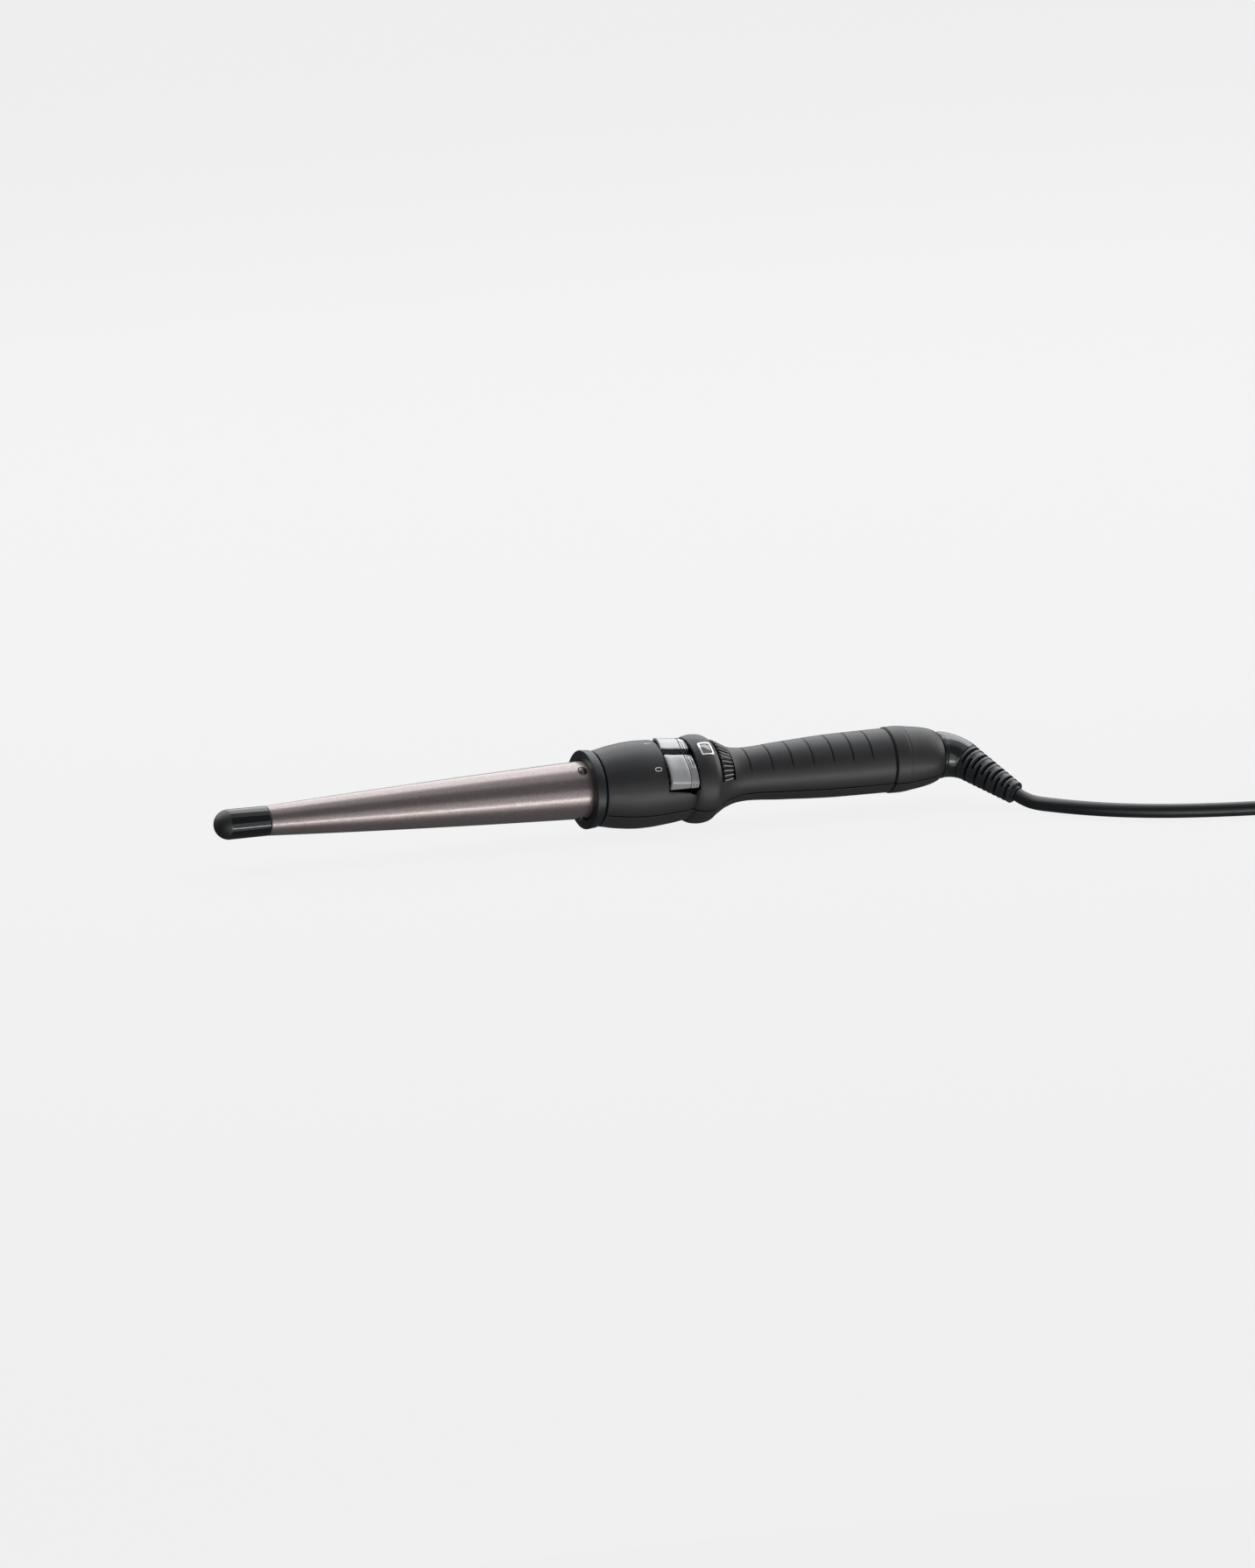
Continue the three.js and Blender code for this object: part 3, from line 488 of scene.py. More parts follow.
def screw(name, index, angle):
    """A pan-head screw with a cross recess, on the barrel's surface at an angle round the wand, ringed by a
    black band that paints the shade of its recess.
    """
    radius, height, recess_depth, segments = 1.75, 0.55, 0.45, 48
    shade_ring_radius, shade_ring_depth = 2.15, 0.5
    base = barrel_radius(SCREW_STATION) - 0.15
    bm = bmesh.new()
    rings = []
    for r, h in ((radius, 0), (radius, 0.2), (radius * 0.92, 0.4), (radius * 0.72, height)):
        rings.append([bm.verts.new((r * x, r * y, h)) for x, y in unit_outline(2, segments)])
    skin(bm, rings)
    bm.faces.new(rings[0][::-1])
    outline = cross_outline(radius * 0.62)
    mouth = [bm.verts.new((x, y, height + 0.05)) for x, y in outline]
    pit = [bm.verts.new((x * 0.75, y * 0.75, height - recess_depth)) for x, y in outline]
    skin(bm, [mouth, pit])
    bm.faces.new(pit)
    bmesh.ops.bridge_loops(bm, edges=[e for e in bm.edges if e.is_boundary])
    bmesh.ops.triangulate(bm, faces=[f for f in bm.faces if len(f.verts) > 4])
    place = Matrix.Rotation(angle, 4, "X") @ Matrix.Translation((SCREW_STATION, 0, base))
    bm.transform(place)
    build(name, bm, WAND, "screw", "wand", [f"barrel_screw_{index}"])
    # painted shade: a black ring round the head stands in for the shaded recess it sits in
    seat = turned([(0.1, radius), (0.1, shade_ring_radius), (-shade_ring_depth, shade_ring_radius), (-shade_ring_depth, radius)],
                  segments)
    seat.transform(place @ Matrix.Translation((0, 0, 0.1)) @ Matrix.Rotation(-math.pi / 2, 4, "Y"))
    build(f"{name}_seat", seat, WAND, "plastic", "wand")


cool_tip()
barrel()
collar()
for number in range(3):
    screw(f"barrel_screw_head_{number + 1}", number + 1, math.radians(120 * number))

# ---------- casing

WALL = 1.6
HALF_SPLIT = 0.38  # half of the gap between the two shells
ROCKER_HALF_OPENING = 15.0
ROCKER_OPENING = (200.0, 214.7)
WINDOW_OPENING = (217.75, 222.45)
WINDOW_ANGLE = math.radians(9.3)
DIAL_OPENING = (225.2, 233.2)
DIAL_ANGLES = {-1: math.radians(50.5), 1: math.radians(56)}  # towards the front, and towards the back
GROOVE_STATIONS = [241.1, 251.0, 260.1, 269.4, 278.6, 287.5, 296.4]
GROOVE_DEPTH = 0.7
GROOVE_HALF_WIDTH = 0.42

head_radius = monotone([
    (CASING_START, 15.8), (174.2, 16.05), (176, 16.35), (180, 17.2), (184, 17.8), (188, 18.25), (193, 18.5),
    (198, 18.35), (203, 17.9), (208, 17.4), (211.6, 16.85), (212.4, 16.7), (RING_START, 16.3),
])
ring_radius = monotone([
    (RING_START, 16.3), (213.5, 16.75), (214.5, 17.7), (216.6, 18.5), (RING_STATION, RING_RADIUS),
    (222.4, 18.5), (224.2, 17.7), (225.2, 16.9), (GRIP_START, 16.2),
])
grip_radius = monotone([
    (GRIP_START, 16.2), (228.2, 15.1), (230.4, 13.8), (232.8, 12.9), (235.4, 12.05), (238.5, 11.5),
    (243, 11.25), (248, 11.45), (256, 12.05), (264, 12.5), (273, 13), (284, 13.4), (300, 13.55),
    (SEAM, 13.6),
])
end_radius = monotone([
    (SEAM, 14.0), (312, 14.1), (BAND_END, 13.95), (318, 13.45), (322, 12.9), (326, 12.15), (329, 11.2),
    (330.6, 10.4), (CASING_END, 9.6),
])


def casing_radius(station, angle=0.0):
    """The shells' outer radius, less the creases all round and the grooves under the fingers."""
    if station < RING_START:
        radius = head_radius(station)
    elif station < GRIP_START:
        radius = ring_radius(station)
    elif station < SEAM:
        radius = grip_radius(station)
    else:
        radius = end_radius(station)
    radius -= 1.5 * max(0, 1 - abs(station - SEAM) / 0.6)
    radius -= 0.16 * max(0, 1 - abs(station - BAND_END) / 0.3)
    degrees = math.degrees(angle)
    fade = smoothstep(-42, -30, degrees) * (1 - smoothstep(58, 70, degrees))
    if fade > 0:
        nearest = min(GROOVE_STATIONS, key=lambda g: abs(g - station))
        radius -= GROOVE_DEPTH * fade * max(0, 1 - abs(station - nearest) / GROOVE_HALF_WIDTH)
    return radius


def casing_bore(station, angle):
    """The shell's inner radius, thinned where the dial passes."""
    outside = casing_radius(station)
    return max(outside - WALL, min(dial_reach(station, angle) + 0.3, outside - 0.12))


DIAL_OFFSET = 2.5
DIAL_START = GRIP_START
DIAL_LENGTH = 6.6
DIAL_FRONT_RADIUS = 14.8
DIAL_BACK_RADIUS = 11.2


def dial_reach(station, angle):
    """How far the dial's own surface stands from the wand's axis at an angle, or 0 beside the dial."""
    if not DIAL_OPENING[0] - 0.1 < station < DIAL_OPENING[1] + 0.1:
        return 0
    along = (station - DIAL_START) / DIAL_LENGTH
    radius = DIAL_FRONT_RADIUS + (DIAL_BACK_RADIUS - DIAL_FRONT_RADIUS) * min(1, max(0, along))
    return DIAL_OFFSET * math.cos(angle) + math.sqrt(radius ** 2 - (DIAL_OFFSET * math.sin(angle)) ** 2)


def casing_stations():
    """Stations of the shell's cross lines, which are closer at openings, grooves and creases."""
    stations = set(spread(CASING_START, CASING_END, 100))
    for edge in (*ROCKER_OPENING, *WINDOW_OPENING, *DIAL_OPENING):
        stations.update((edge - 0.4, edge, edge + 0.4))
    for groove in GROOVE_STATIONS:
        stations.update(groove + GROOVE_HALF_WIDTH * k for k in (-1.6, -1, -0.5, 0, 0.5, 1, 1.6))
    for crease in (RING_START, GRIP_START):
        stations.update(crease + k for k in (-0.3, 0, 0.3, 0.7))
    stations.update(SEAM + k for k in (-1, -0.6, -0.3, 0, 0.3, 0.6, 1))
    stations.update(BAND_END + k for k in (-0.6, -0.3, 0, 0.3, 0.6))
    stations.update((CASING_START + 0.3, CASING_END - 0.3))
    kept = []
    for station in sorted(stations):
        if kept and station - kept[-1] < 0.12:
            continue
        kept.append(station)
    return kept


def rocker_edge(station):
    """The angle at which the rocker's opening ends at a station."""
    station = min(ROCKER_OPENING[1], max(ROCKER_OPENING[0], station))
    return math.asin(min(0.97, ROCKER_HALF_OPENING / casing_radius(station)))


def casing_angles(station, upper):
    """Angles of the shell's long lines at a station. On the upper shell some follow the openings."""
    radius = casing_radius(station)
    side = math.pi / 2 - math.asin(HALF_SPLIT / radius)
    if not upper:
        return [math.pi + a for a in spread(-side, side, 52)]
    halves = {}
    for way, dial_angle in DIAL_ANGLES.items():
        stops = [0, WINDOW_ANGLE, dial_angle, rocker_edge(station), side]
        halves[way] = []
        for low, high, count in zip(stops, stops[1:], (3, 9, 4, 6)):
            halves[way] += [way * angle for angle in spread(low, high, count)[1:]]
    return [*reversed(halves[-1]), 0.0, *halves[1]]


def casing_cell_open(s0, s1, a0, a1):
    """True where a cell of the upper shell lies in an opening."""
    station, angle = (s0 + s1) / 2, (a0 + a1) / 2
    way = 1 if angle > 0 else -1
    angle = abs(angle)
    if ROCKER_OPENING[0] < station < ROCKER_OPENING[1]:
        return angle < rocker_edge(station)
    if WINDOW_OPENING[0] < station < WINDOW_OPENING[1]:
        return angle < WINDOW_ANGLE
    if DIAL_OPENING[0] < station < DIAL_OPENING[1]:
        return angle < DIAL_ANGLES[way]
    return False


def casing_shell(name, node, upper):
    """Builds one shell: its outer and inner faces, and a wall round every edge and opening."""
    stations = casing_stations()
    angles = [casing_angles(s, upper) for s in stations]
    bm = bmesh.new()
    outer, inner = [], []
    for s, row in zip(stations, angles):
        outer.append([bm.verts.new(polar(s, casing_radius(s, a), a)) for a in row])
        inner.append([bm.verts.new(polar(s, casing_bore(s, a), a)) for a in row])
    rows, columns = len(stations) - 1, len(angles[0]) - 1
    kept = {}
    for i in range(rows):
        for j in range(columns):
            cell = (stations[i], stations[i + 1], angles[i][j], angles[i][j + 1])
            kept[i, j] = not (upper and casing_cell_open(*cell))
    for (i, j), solid in kept.items():
        if not solid:
            continue
        corners = ((i, j), (i, j + 1), (i + 1, j + 1), (i + 1, j))
        bm.faces.new([outer[r][c] for r, c in corners])
        bm.faces.new([inner[r][c] for r, c in reversed(corners)])
        beside = ((i, j - 1), (i - 1, j), (i, j + 1), (i + 1, j))
        sides = ((0, 3), (0, 1), (1, 2), (3, 2))
        for neighbour, (p, q) in zip(beside, sides):
            if not kept.get(neighbour, False):
                (r0, c0), (r1, c1) = corners[p], corners[q]
                bm.faces.new((outer[r0][c0], outer[r1][c1], inner[r1][c1], inner[r0][c0]))
    loose = [v for v in bm.verts if not v.link_faces]
    bmesh.ops.delete(bm, geom=loose, context="VERTS")
    build(name, bm, WAND, "soft_touch", "wand", [node], bevel=0.09, sharp=50)


casing_shell("upper_shell", "upper_casing", True)
casing_shell("lower_shell", "lower_casing", False)


def parting_shade(name, side):
    """A near-black strip in the gap between the two shells on one side, a little below the surface: painted
    shade that darkens the gap.
    """
    bm = bmesh.new()
    rings = []
    for station in casing_stations()[2:-2]:
        radius = casing_radius(station)
        ring = []
        for depth, height in ((0.2, -0.5), (0.2, 0.5), (1.3, 0.5), (1.3, -0.5)):
            ring.append(bm.verts.new((station, side * (radius - depth), height)))
        rings.append(ring)
    skin(bm, rings)
    bm.faces.new(rings[0])
    bm.faces.new(rings[-1])
    build(name, bm, WAND, "shade", "wand")


parting_shade("parting_shade_front", -1)
parting_shade("parting_shade_back", 1)


def screw_holes():
    """Sinks for the three casing screws' heads, cut up into the lower shell."""
    radius, depth = 2.4, 12
    shell = bpy.data.objects["lower_shell"]
    for number in (1, 2, 3):
        bm = bmesh.new()
        bmesh.ops.create_cone(bm, cap_ends=True, segments=32, radius1=radius, radius2=radius, depth=depth)
        node = frame["nodes"][f"casing_screw_{number}"]
        points = [WAND.inverted() @ (node.matrix_world @ v.co) for v in node.data.vertices]
        bottom = min(p.z for p in points)
        head = [p for p in points if p.z < bottom + 0.1]
        centre = sum(head, Vector()) / len(head)
        bm.transform(Matrix.Translation((centre.x, centre.y, bottom - depth / 2)))
        mesh = bpy.data.meshes.new("sink")
        bm.transform(WAND)
        bm.to_mesh(mesh)
        bm.free()
        cutter = bpy.data.objects.new("sink", mesh)
        bpy.context.collection.objects.link(cutter)
        cut = shell.modifiers.new("sink", "BOOLEAN")
        cut.operation = "DIFFERENCE"
        cut.object = cutter
        carved = evaluated_mesh(shell)
        shell.modifiers.clear()
        shell.data = carved
        bpy.data.objects.remove(cutter)


screw_holes()


def closed_ring_plate(inner, outer, low, high):
    """A plate between two matching closed outlines of (station, angle), following the casing's surface."""
    bm = bmesh.new()
    loops = []
    for outline, height in ((outer, low), (outer, high), (inner, high), (inner, low)):
        loops.append([bm.verts.new(polar(s, casing_radius(s) + height, a)) for s, a in outline])
    skin(bm, loops, closed=True)
    return bm


def superellipse(centre, angle, half_length, half_width, power):
    """A closed outline of (station, angle) points on the casing. Power 2 is an ellipse, more is boxier."""
    radius = casing_radius(centre)
    return [(centre + half_length * u, angle + half_width * v / radius) for u, v in unit_outline(power, 48)]


def filled_plate(outline, low, high):
    """A closed plate inside an outline of (station, angle) points, of rings that shrink to the middle."""
    bm = bmesh.new()
    middle_s = sum(s for s, _ in outline) / len(outline)
    middle_a = sum(a for _, a in outline) / len(outline)
    sheets = []
    for height in (high, low):
        rings = []
        for scale in (1, 0.75, 0.5, 0.25):
            ring = []
            for s, a in outline:
                station = middle_s + (s - middle_s) * scale
                angle = middle_a + (a - middle_a) * scale
                ring.append(bm.verts.new(polar(station, casing_radius(station) + height, angle)))
            rings.append(ring)
        middle = bm.verts.new(polar(middle_s, casing_radius(middle_s) + height, middle_a))
        sheets.append((rings, middle))
    for rings, middle in sheets:
        skin(bm, rings)
        for i in range(len(outline)):
            bm.faces.new((rings[-1][i], rings[-1][(i + 1) % len(outline)], middle))
    skin(bm, [rings[0] for rings, _ in sheets])
    return bm


MARK_STATION = 196.2
OFF_ANGLE = math.radians(-24)
ON_ANGLE = math.radians(23)
MARK_SUNK = -0.15
MARK_RAISED = 0.03
off_outer = superellipse(MARK_STATION, OFF_ANGLE, 1.6, 0.95, 2.4)
off_inner = superellipse(MARK_STATION, OFF_ANGLE, 1.3, 0.65, 2.4)
off_ring = closed_ring_plate(off_inner, off_outer, MARK_SUNK, MARK_RAISED)
build("mark_off", off_ring, WAND, "mark", "wand")
on_bar = filled_plate(superellipse(MARK_STATION, ON_ANGLE, 1.5, 0.16, 6), MARK_SUNK, MARK_RAISED)
build("mark_on", on_bar, WAND, "mark", "wand")

# ---------- window, number drum and dial

WINDOW_STATION = 220.1
frame_outer = superellipse(WINDOW_STATION, 0, 2.9, 3.6, 8)
frame_inner = superellipse(WINDOW_STATION, 0, 2.25, 2.9, 8)
window_frame = closed_ring_plate(frame_inner, frame_outer, -1.2, 0.2)
build("window_frame", window_frame, WAND, "trim", "wand", bevel=0.08)
pane = filled_plate(superellipse(WINDOW_STATION, 0, 2.2, 2.9, 9), -1.0, -0.2)
build("window_pane", pane, WAND, "smoke", "wand", ["number_window"])

DRUM_RADIUS = 13.6


def number_drum():
    """The drum under the window, with the web that joins it to the dial."""
    start, bore, hub_start = 217.2, 11.4, 223.6
    end = DIAL_START - 0.3
    profile = rounded([
        (start, bore), (start, DRUM_RADIUS), (223.2, DRUM_RADIUS), (224.6, 12.2), (end, 12.2), (end, 2),
        (hub_start, 6), (hub_start, bore), (start, bore),
    ], 0.3)
    bm = turned(profile, 96, DIAL_OFFSET)
    build("number_drum_shape", bm, WAND, "plastic", "dial", ["number_drum"])


def drum_numbers():
    """Temperatures in tens round the drum, spread over the dial's travel, reading along the wand."""
    values = range(100, 220, 10)
    travel = math.radians(270)
    bm = bmesh.new()
    for i, value in enumerate(values):
        text = bpy.data.curves.new("number", "FONT")
        text.body = str(value)
        text.size = 2.9
        text.align_x = "CENTER"
        text.align_y = "CENTER"
        text.extrude = 0.03
        carrier = bpy.data.objects.new("number", text)
        bpy.context.collection.objects.link(carrier)
        shape = evaluated_mesh(carrier)
        middle = -travel * i / (len(values) - 1) + math.radians(12)
        for vertex in shape.vertices:
            x, y, z = vertex.co
            point = polar(WINDOW_STATION + x, DRUM_RADIUS + 0.02 + z, middle + y / DRUM_RADIUS)
            vertex.co = point + Vector((0, 0, DIAL_OFFSET))
        bm.from_mesh(shape)
        bpy.data.objects.remove(carrier)
    build("drum_numbers", bm, WAND, "mark", "dial")


def dial_wheel():
    """A tapered wheel with rounded ribs: 40 of them, each a ridge between two hollows."""
    ribs, depth, steps = 40, 1.1, 8
    count = ribs * steps
    front = [(0, 0.7), (0.25, 0.3), (0.7, 0.08)]
    side = [(x, 0) for x in spread(1.2, DIAL_LENGTH - 1.0, 6)]
    back = [(DIAL_LENGTH - 0.5, 0.1), (DIAL_LENGTH - 0.15, 0.4), (DIAL_LENGTH, 0.8)]
    bm = bmesh.new()
    rings = []
    for x, inset in front + side + back:
        base = DIAL_FRONT_RADIUS + (DIAL_BACK_RADIUS - DIAL_FRONT_RADIUS) * x / DIAL_LENGTH - inset
        ring = []
        for i in range(count):
            wave = abs(math.sin(math.pi * i / steps))  # 0 at the bottom of a hollow
            radius = base - depth * (1 - wave ** 0.8) * base / DIAL_FRONT_RADIUS
            point = polar(DIAL_START + x, radius, math.tau * i / count)
            ring.append(bm.verts.new(point + Vector((0, 0, DIAL_OFFSET))))
        rings.append(ring)
    skin(bm, rings)
    for ring, x in ((rings[0], 0), (rings[-1], DIAL_LENGTH)):
        centre = bm.verts.new((DIAL_START + x, 0, DIAL_OFFSET))
        for i in range(count):
            bm.faces.new((ring[i], ring[(i + 1) % count], centre))
    build("dial_wheel_shape", bm, WAND, "dial", "dial", ["dial_wheel"], sharp=60)


number_drum()
drum_numbers()
dial_wheel()

# ---------- rocker

ROCKER_PIVOT = 10.5
ROCKER_REST = math.radians(-5)
ROCKER_HALF_WIDTH = 15.1
ROCKER_SKEW_UP = 2.2  # how far the raised end leans towards the grip, past the valley
ROCKER_SKEW_DOWN = 0.4
ROCKER_VALLEY = 1.9  # half the width of the roll between the lobes, which is painted dark as shade
rocker_lift = monotone([(200.4, 0.75), (203, 0.35), (205, 0.0), (209.6, -0.35), (214.4, -1.3)])


def skewed(station, y):
    """The station of a point of the rocker at y, which leans towards the grip as it leaves the valley."""
    lean = ROCKER_SKEW_UP * smoothstep(-1, 15, y) + ROCKER_SKEW_DOWN * smoothstep(2, 15, -y)
    return min(214.2, station + lean)


def rocker_top(half_width, drop):
    """The crowned top from the valley to the +y end, in the rocker's middle position."""
    points = [(0, 15.3), (0.35, 16.0), (0.9, 16.8), (1.45, 17.35), (ROCKER_VALLEY, 17.75)]
    start = Vector(points[-1])
    control = Vector((9.5, 17.6))
    end = Vector((half_width - 0.4, 12.95))
    for t in spread(0, 1, 12)[1:]:
        point = start * (1 - t) ** 2 + control * 2 * t * (1 - t) + end * t * t
        points.append(tuple(point))
    points += [(half_width - 0.1, 12.55), (half_width, 12.1)]
    return [(y, z - drop) for y, z in points]


def paint_valley(piece):
    """Paints the roll between the two lobes dark: painted shade in the groove between them."""
    piece.data.materials.append(MATERIALS["valley"])
    for polygon in piece.data.polygons:
        middle = WAND.inverted() @ polygon.center
        tilted = Matrix.Rotation(-ROCKER_REST, 4, "X") @ (middle - Vector((0, 0, ROCKER_PIVOT)))
        if abs(tilted.y) < ROCKER_VALLEY + 0.1:
            polygon.material_index = 1


def rocker_piece(name, node, material, start, end, half_width, wall, drop=0.0, bevel=0.0):
    """A shell over the rocker's outline, whose height follows the casing's taper from start to end. Its
    inner outline has a point for each outer one, so that its end faces are rows of quads."""
    foot = 9.2
    half = rocker_top(half_width, drop)
    outer = [(-half_width, foot), *((-y, z) for y, z in reversed(half)), *half[1:], (half_width, foot)]
    limit = half_width - wall
    inner = [(max(-limit, min(limit, y)), max(foot, z - wall * 1.15)) for y, z in outer]
    bm = bmesh.new()
    sections = []
    for station in spread(start, end, 6):
        section = []
        for y, z in outer + inner[::-1]:
            raised = z + rocker_lift(station) * smoothstep(foot, foot + 2.5, z)
            section.append(bm.verts.new((skewed(station, y), y, raised)))
        sections.append(section)
    skin(bm, sections)
    count = len(sections[0])
    for section in (sections[0], sections[-1]):
        for i in range(len(outer) - 1):
            bm.faces.new((section[i], section[i + 1], section[count - 2 - i], section[count - 1 - i]))
    to_pivot = Matrix.Translation((0, 0, ROCKER_PIVOT))
    bm.transform(to_pivot @ Matrix.Rotation(ROCKER_REST, 4, "X") @ to_pivot.inverted())
    piece = build(name, bm, WAND, material, "rocker", [node], bevel=bevel, sharp=55)
    paint_valley(piece)


rocker_piece("rocker_cap_shape", "rocker_cap", "silver", 200.5, 209.6,
             ROCKER_HALF_WIDTH - 0.9, wall=1.5, bevel=0.3)
rocker_piece("rocker_lens_shape", "rocker_lens", "clear", 209.85, 213.3,
             ROCKER_HALF_WIDTH - 1.0, wall=1.2, bevel=0.2)
for number, station in enumerate((210.1, 211.5, 212.9)):
    rocker_piece(f"lens_guide_{number + 1}", "rocker_lens", "trim", station,
                 station + 0.28, ROCKER_HALF_WIDTH - 1.4, wall=0.9, drop=0.35)

# ---------- swivelling elbow and cord guard

BEND_RADIUS = 13
BEND_ANGLE = math.radians(62.5)
BEND_LENGTH = BEND_RADIUS * BEND_ANGLE
GUARD_START = CASING_END + BEND_LENGTH - 0.5
GUARD_LENGTH = 28
GUARD_RIBS = 11
GUARD_RADII = (7.6, 4.9)
CORD_RADIUS = 3.0


def laid_along_exit(bm):
    """Moves a body drawn about X so that its x runs along the exit: straight, round the bend, straight."""
    for vertex in bm.verts:
        length, y, z = vertex.co
        turn = min(BEND_ANGLE, max(0, (length - CASING_END) / BEND_RADIUS))
        beyond = max(0, length - CASING_END - BEND_LENGTH)
        along = Vector((math.cos(turn), 0, -math.sin(turn)))
        lift = Vector((math.sin(turn), 0, math.cos(turn)))
        centre = Vector((min(length, CASING_END) + BEND_RADIUS * math.sin(turn), 0,
                         -BEND_RADIUS * (1 - math.cos(turn))))
        vertex.co = centre + along * beyond + Vector((0, y, 0)) + lift * z
    return bm


def elbow():
    """The bend outside the casing, with the neck and flange that hold it inside."""
    neck, flange, start_radius = 7.2, 9.1, 9.75
    start, end = 334, GUARD_START - 0.2
    growth = (GUARD_RADII[0] + 0.25 - start_radius) / (end - start)
    bend = [(s, start_radius + growth * (s - start)) for s in spread(start, end, 16)]
    profile = rounded([
        (312, 0), (312, 4.2), (322.6, 4.2), (322.6, neck), (326, neck), (326, flange), (328.8, flange),
        (328.8, neck), (CASING_END + 0.3, neck), (CASING_END + 0.3, 9.6), (332.2, 9.9), (333.2, 9.9),
    ], 0.3)
    tail = rounded([bend[-2], bend[-1], (end, 4)], 0.6)[1:]
    bm = laid_along_exit(turned([*profile, *bend[:-1], *tail, (end, 0)], 64))
    build("elbow_shape", bm, SWIVEL, "gloss", "swivel", ["swivel_elbow"], sharp=50)


def cord_guard():
    """Rings round the lead with slots between them, joined by bridges on alternate sides."""
    pitch = GUARD_LENGTH / GUARD_RIBS
    bm = bmesh.new()

    def add(profile, arc=None):
        """Adds a turned part, cut down to an arc given by its middle angle and half its spread."""
        part = turned(profile, 48)
        if arc:
            centre, half = arc
            outside = []
            for face in part.faces:
                middle = face.calc_center_median()
                angle = math.atan2(middle.y, middle.z)
                away = abs((angle - centre + math.pi) % math.tau - math.pi)
                if away > half:
                    outside.append(face)
            bmesh.ops.delete(part, geom=outside, context="FACES")
        mesh = bpy.data.meshes.new("part")
        part.to_mesh(mesh)
        part.free()
        bm.from_mesh(mesh)
        bpy.data.meshes.remove(mesh)

    core = CORD_RADIUS + 0.35
    end = GUARD_START + GUARD_LENGTH
    add(rounded([(GUARD_START, 0), (GUARD_START, core), (end, core), (end, 0)], 0.2))
    for i in range(GUARD_RIBS):
        start = GUARD_START + i * pitch
        outer = GUARD_RADII[0] + (GUARD_RADII[1] - GUARD_RADII[0]) * i / (GUARD_RIBS - 1)
        thick = pitch * 0.5
        foot = core - 0.3
        add(rounded([(start + thick, foot), (start, foot), (start, outer), (start + thick, outer),
                     (start + thick, foot)], 0.18, 2))
        if i == GUARD_RIBS - 1:
            break
        near, far = start + thick * 0.7, start + pitch * 1.15
        for side in (0, math.pi):
            centre = side + (math.pi / 2 if i % 2 else 0)
            add([(near, core - 0.2), (near, outer - 0.25), (far, outer - 0.4), (far, core - 0.2)],
                (centre, math.radians(28)))
    laid_along_exit(bm)
    return build("cord_guard_shape", bm, SWIVEL, "guard", "swivel", ["cord_guard"], sharp=40)


elbow()
guard = cord_guard()

# ---------- mains lead, coiled outside the view

CORD_DIAMETER = 0.006
COIL_CENTRE = Vector((0.3334, -0.0576, 0))
COIL_HEADING = math.radians(-24)
COIL = Matrix.Translation(COIL_CENTRE) @ Matrix.Rotation(COIL_HEADING, 4, "Z")
TURN_RADII = [0.042, 0.036, 0.030, 0.024]
ROW_HEIGHTS = [0.0042, 0.0102, 0.0162]
TURN_STEPS = 40
PLUG_HEIGHT = 0.02635
TAIL_SPARE = 0.004
LEAD_ROUTE = [
    (0.1814, -0.0284, 0.00536), (0.1825, -0.0303, 0.00453), (0.1837, -0.0322, 0.00389),
    (0.1848, -0.0340, 0.00343), (0.1861, -0.0358, 0.00316), (0.1876, -0.0381, 0.00305),
    (0.1903, -0.0417, 0.00305), (0.1954, -0.0478, 0.00305), (0.2025, -0.0549, 0.00305),
    (0.2111, -0.0618, 0.00305), (0.2213, -0.0680, 0.00305), (0.2322, -0.0731, 0.00305),
    (0.2435, -0.0770, 0.00305), (0.2551, -0.0802, 0.00305), (0.2658, -0.0825, 0.00305),
    (0.2756, -0.0845, 0.00306), (0.2854, -0.0866, 0.00327), (0.2951, -0.0888, 0.00363),
]


def coil_point(turn):
    """Where the lead lies after a number of turns, counted from the near side: it steps from one layer to
    the next between 180 and 300 degrees of each turn, and leaves the last one to rise to the plug."""
    columns = len(TURN_RADII)
    layers = []
    for row, height in enumerate(ROW_HEIGHTS):
        radii = TURN_RADII if row % 2 == 0 else TURN_RADII[::-1]
        layers += [(radius, height) for radius in radii]
    index = min(int(turn), columns * len(ROW_HEIGHTS) - 1)
    degrees = (turn - index) * 360
    here = layers[index]
    after = layers[min(index + 1, len(layers) - 1)]
    move = smoothstep(180, 300, degrees)
    radius = here[0] + (after[0] - here[0]) * move
    height = here[1] + (after[1] - here[1]) * move
    if index == len(layers) - 1:
        height += CORD_DIAMETER * 1.05 * smoothstep(210, 275, degrees)
        height += (PLUG_HEIGHT - ROW_HEIGHTS[-1] - CORD_DIAMETER * 1.05) * smoothstep(275, 360, degrees)
    angle = turn * math.tau
    return COIL @ Vector((radius * math.sin(angle), -radius * math.cos(angle), height))


def smooth_route(points, gap=0.002):
    """A Catmull-Rom curve through the points, with a point about every gap."""
    ends = [points[0] * 2 - points[1], *points, points[-1] * 2 - points[-2]]
    route = []
    for a, b, c, d in zip(ends, ends[1:], ends[2:], ends[3:]):
        steps = max(1, round((c - b).length / gap))
        for i in range(steps):
            t = i / steps
            square = (2 * a - 5 * b + 4 * c - d) * t * t
            cube = (3 * b - a - 3 * c + d) * t ** 3
            route.append(0.5 * (2 * b + (c - a) * t + square + cube))
    return [*route, points[-1]]


def cord_route():
    """The lead's middle line from the guard to the plug, and so its length."""
    turns = len(TURN_RADII) * len(ROW_HEIGHTS)
    coil = [coil_point(i / TURN_STEPS) for i in range(turns * TURN_STEPS + 1)]
    plug_end = COIL @ Vector((TAIL_SPARE - 0.0002, -TURN_RADII[-1], PLUG_HEIGHT))
    lead = smooth_route([*map(Vector, LEAD_ROUTE), coil[0], coil[2]])
    joined = next(i for i, p in enumerate(lead) if (p - coil[0]).length < 1e-6)
    return lead[:joined] + coil + [plug_end]


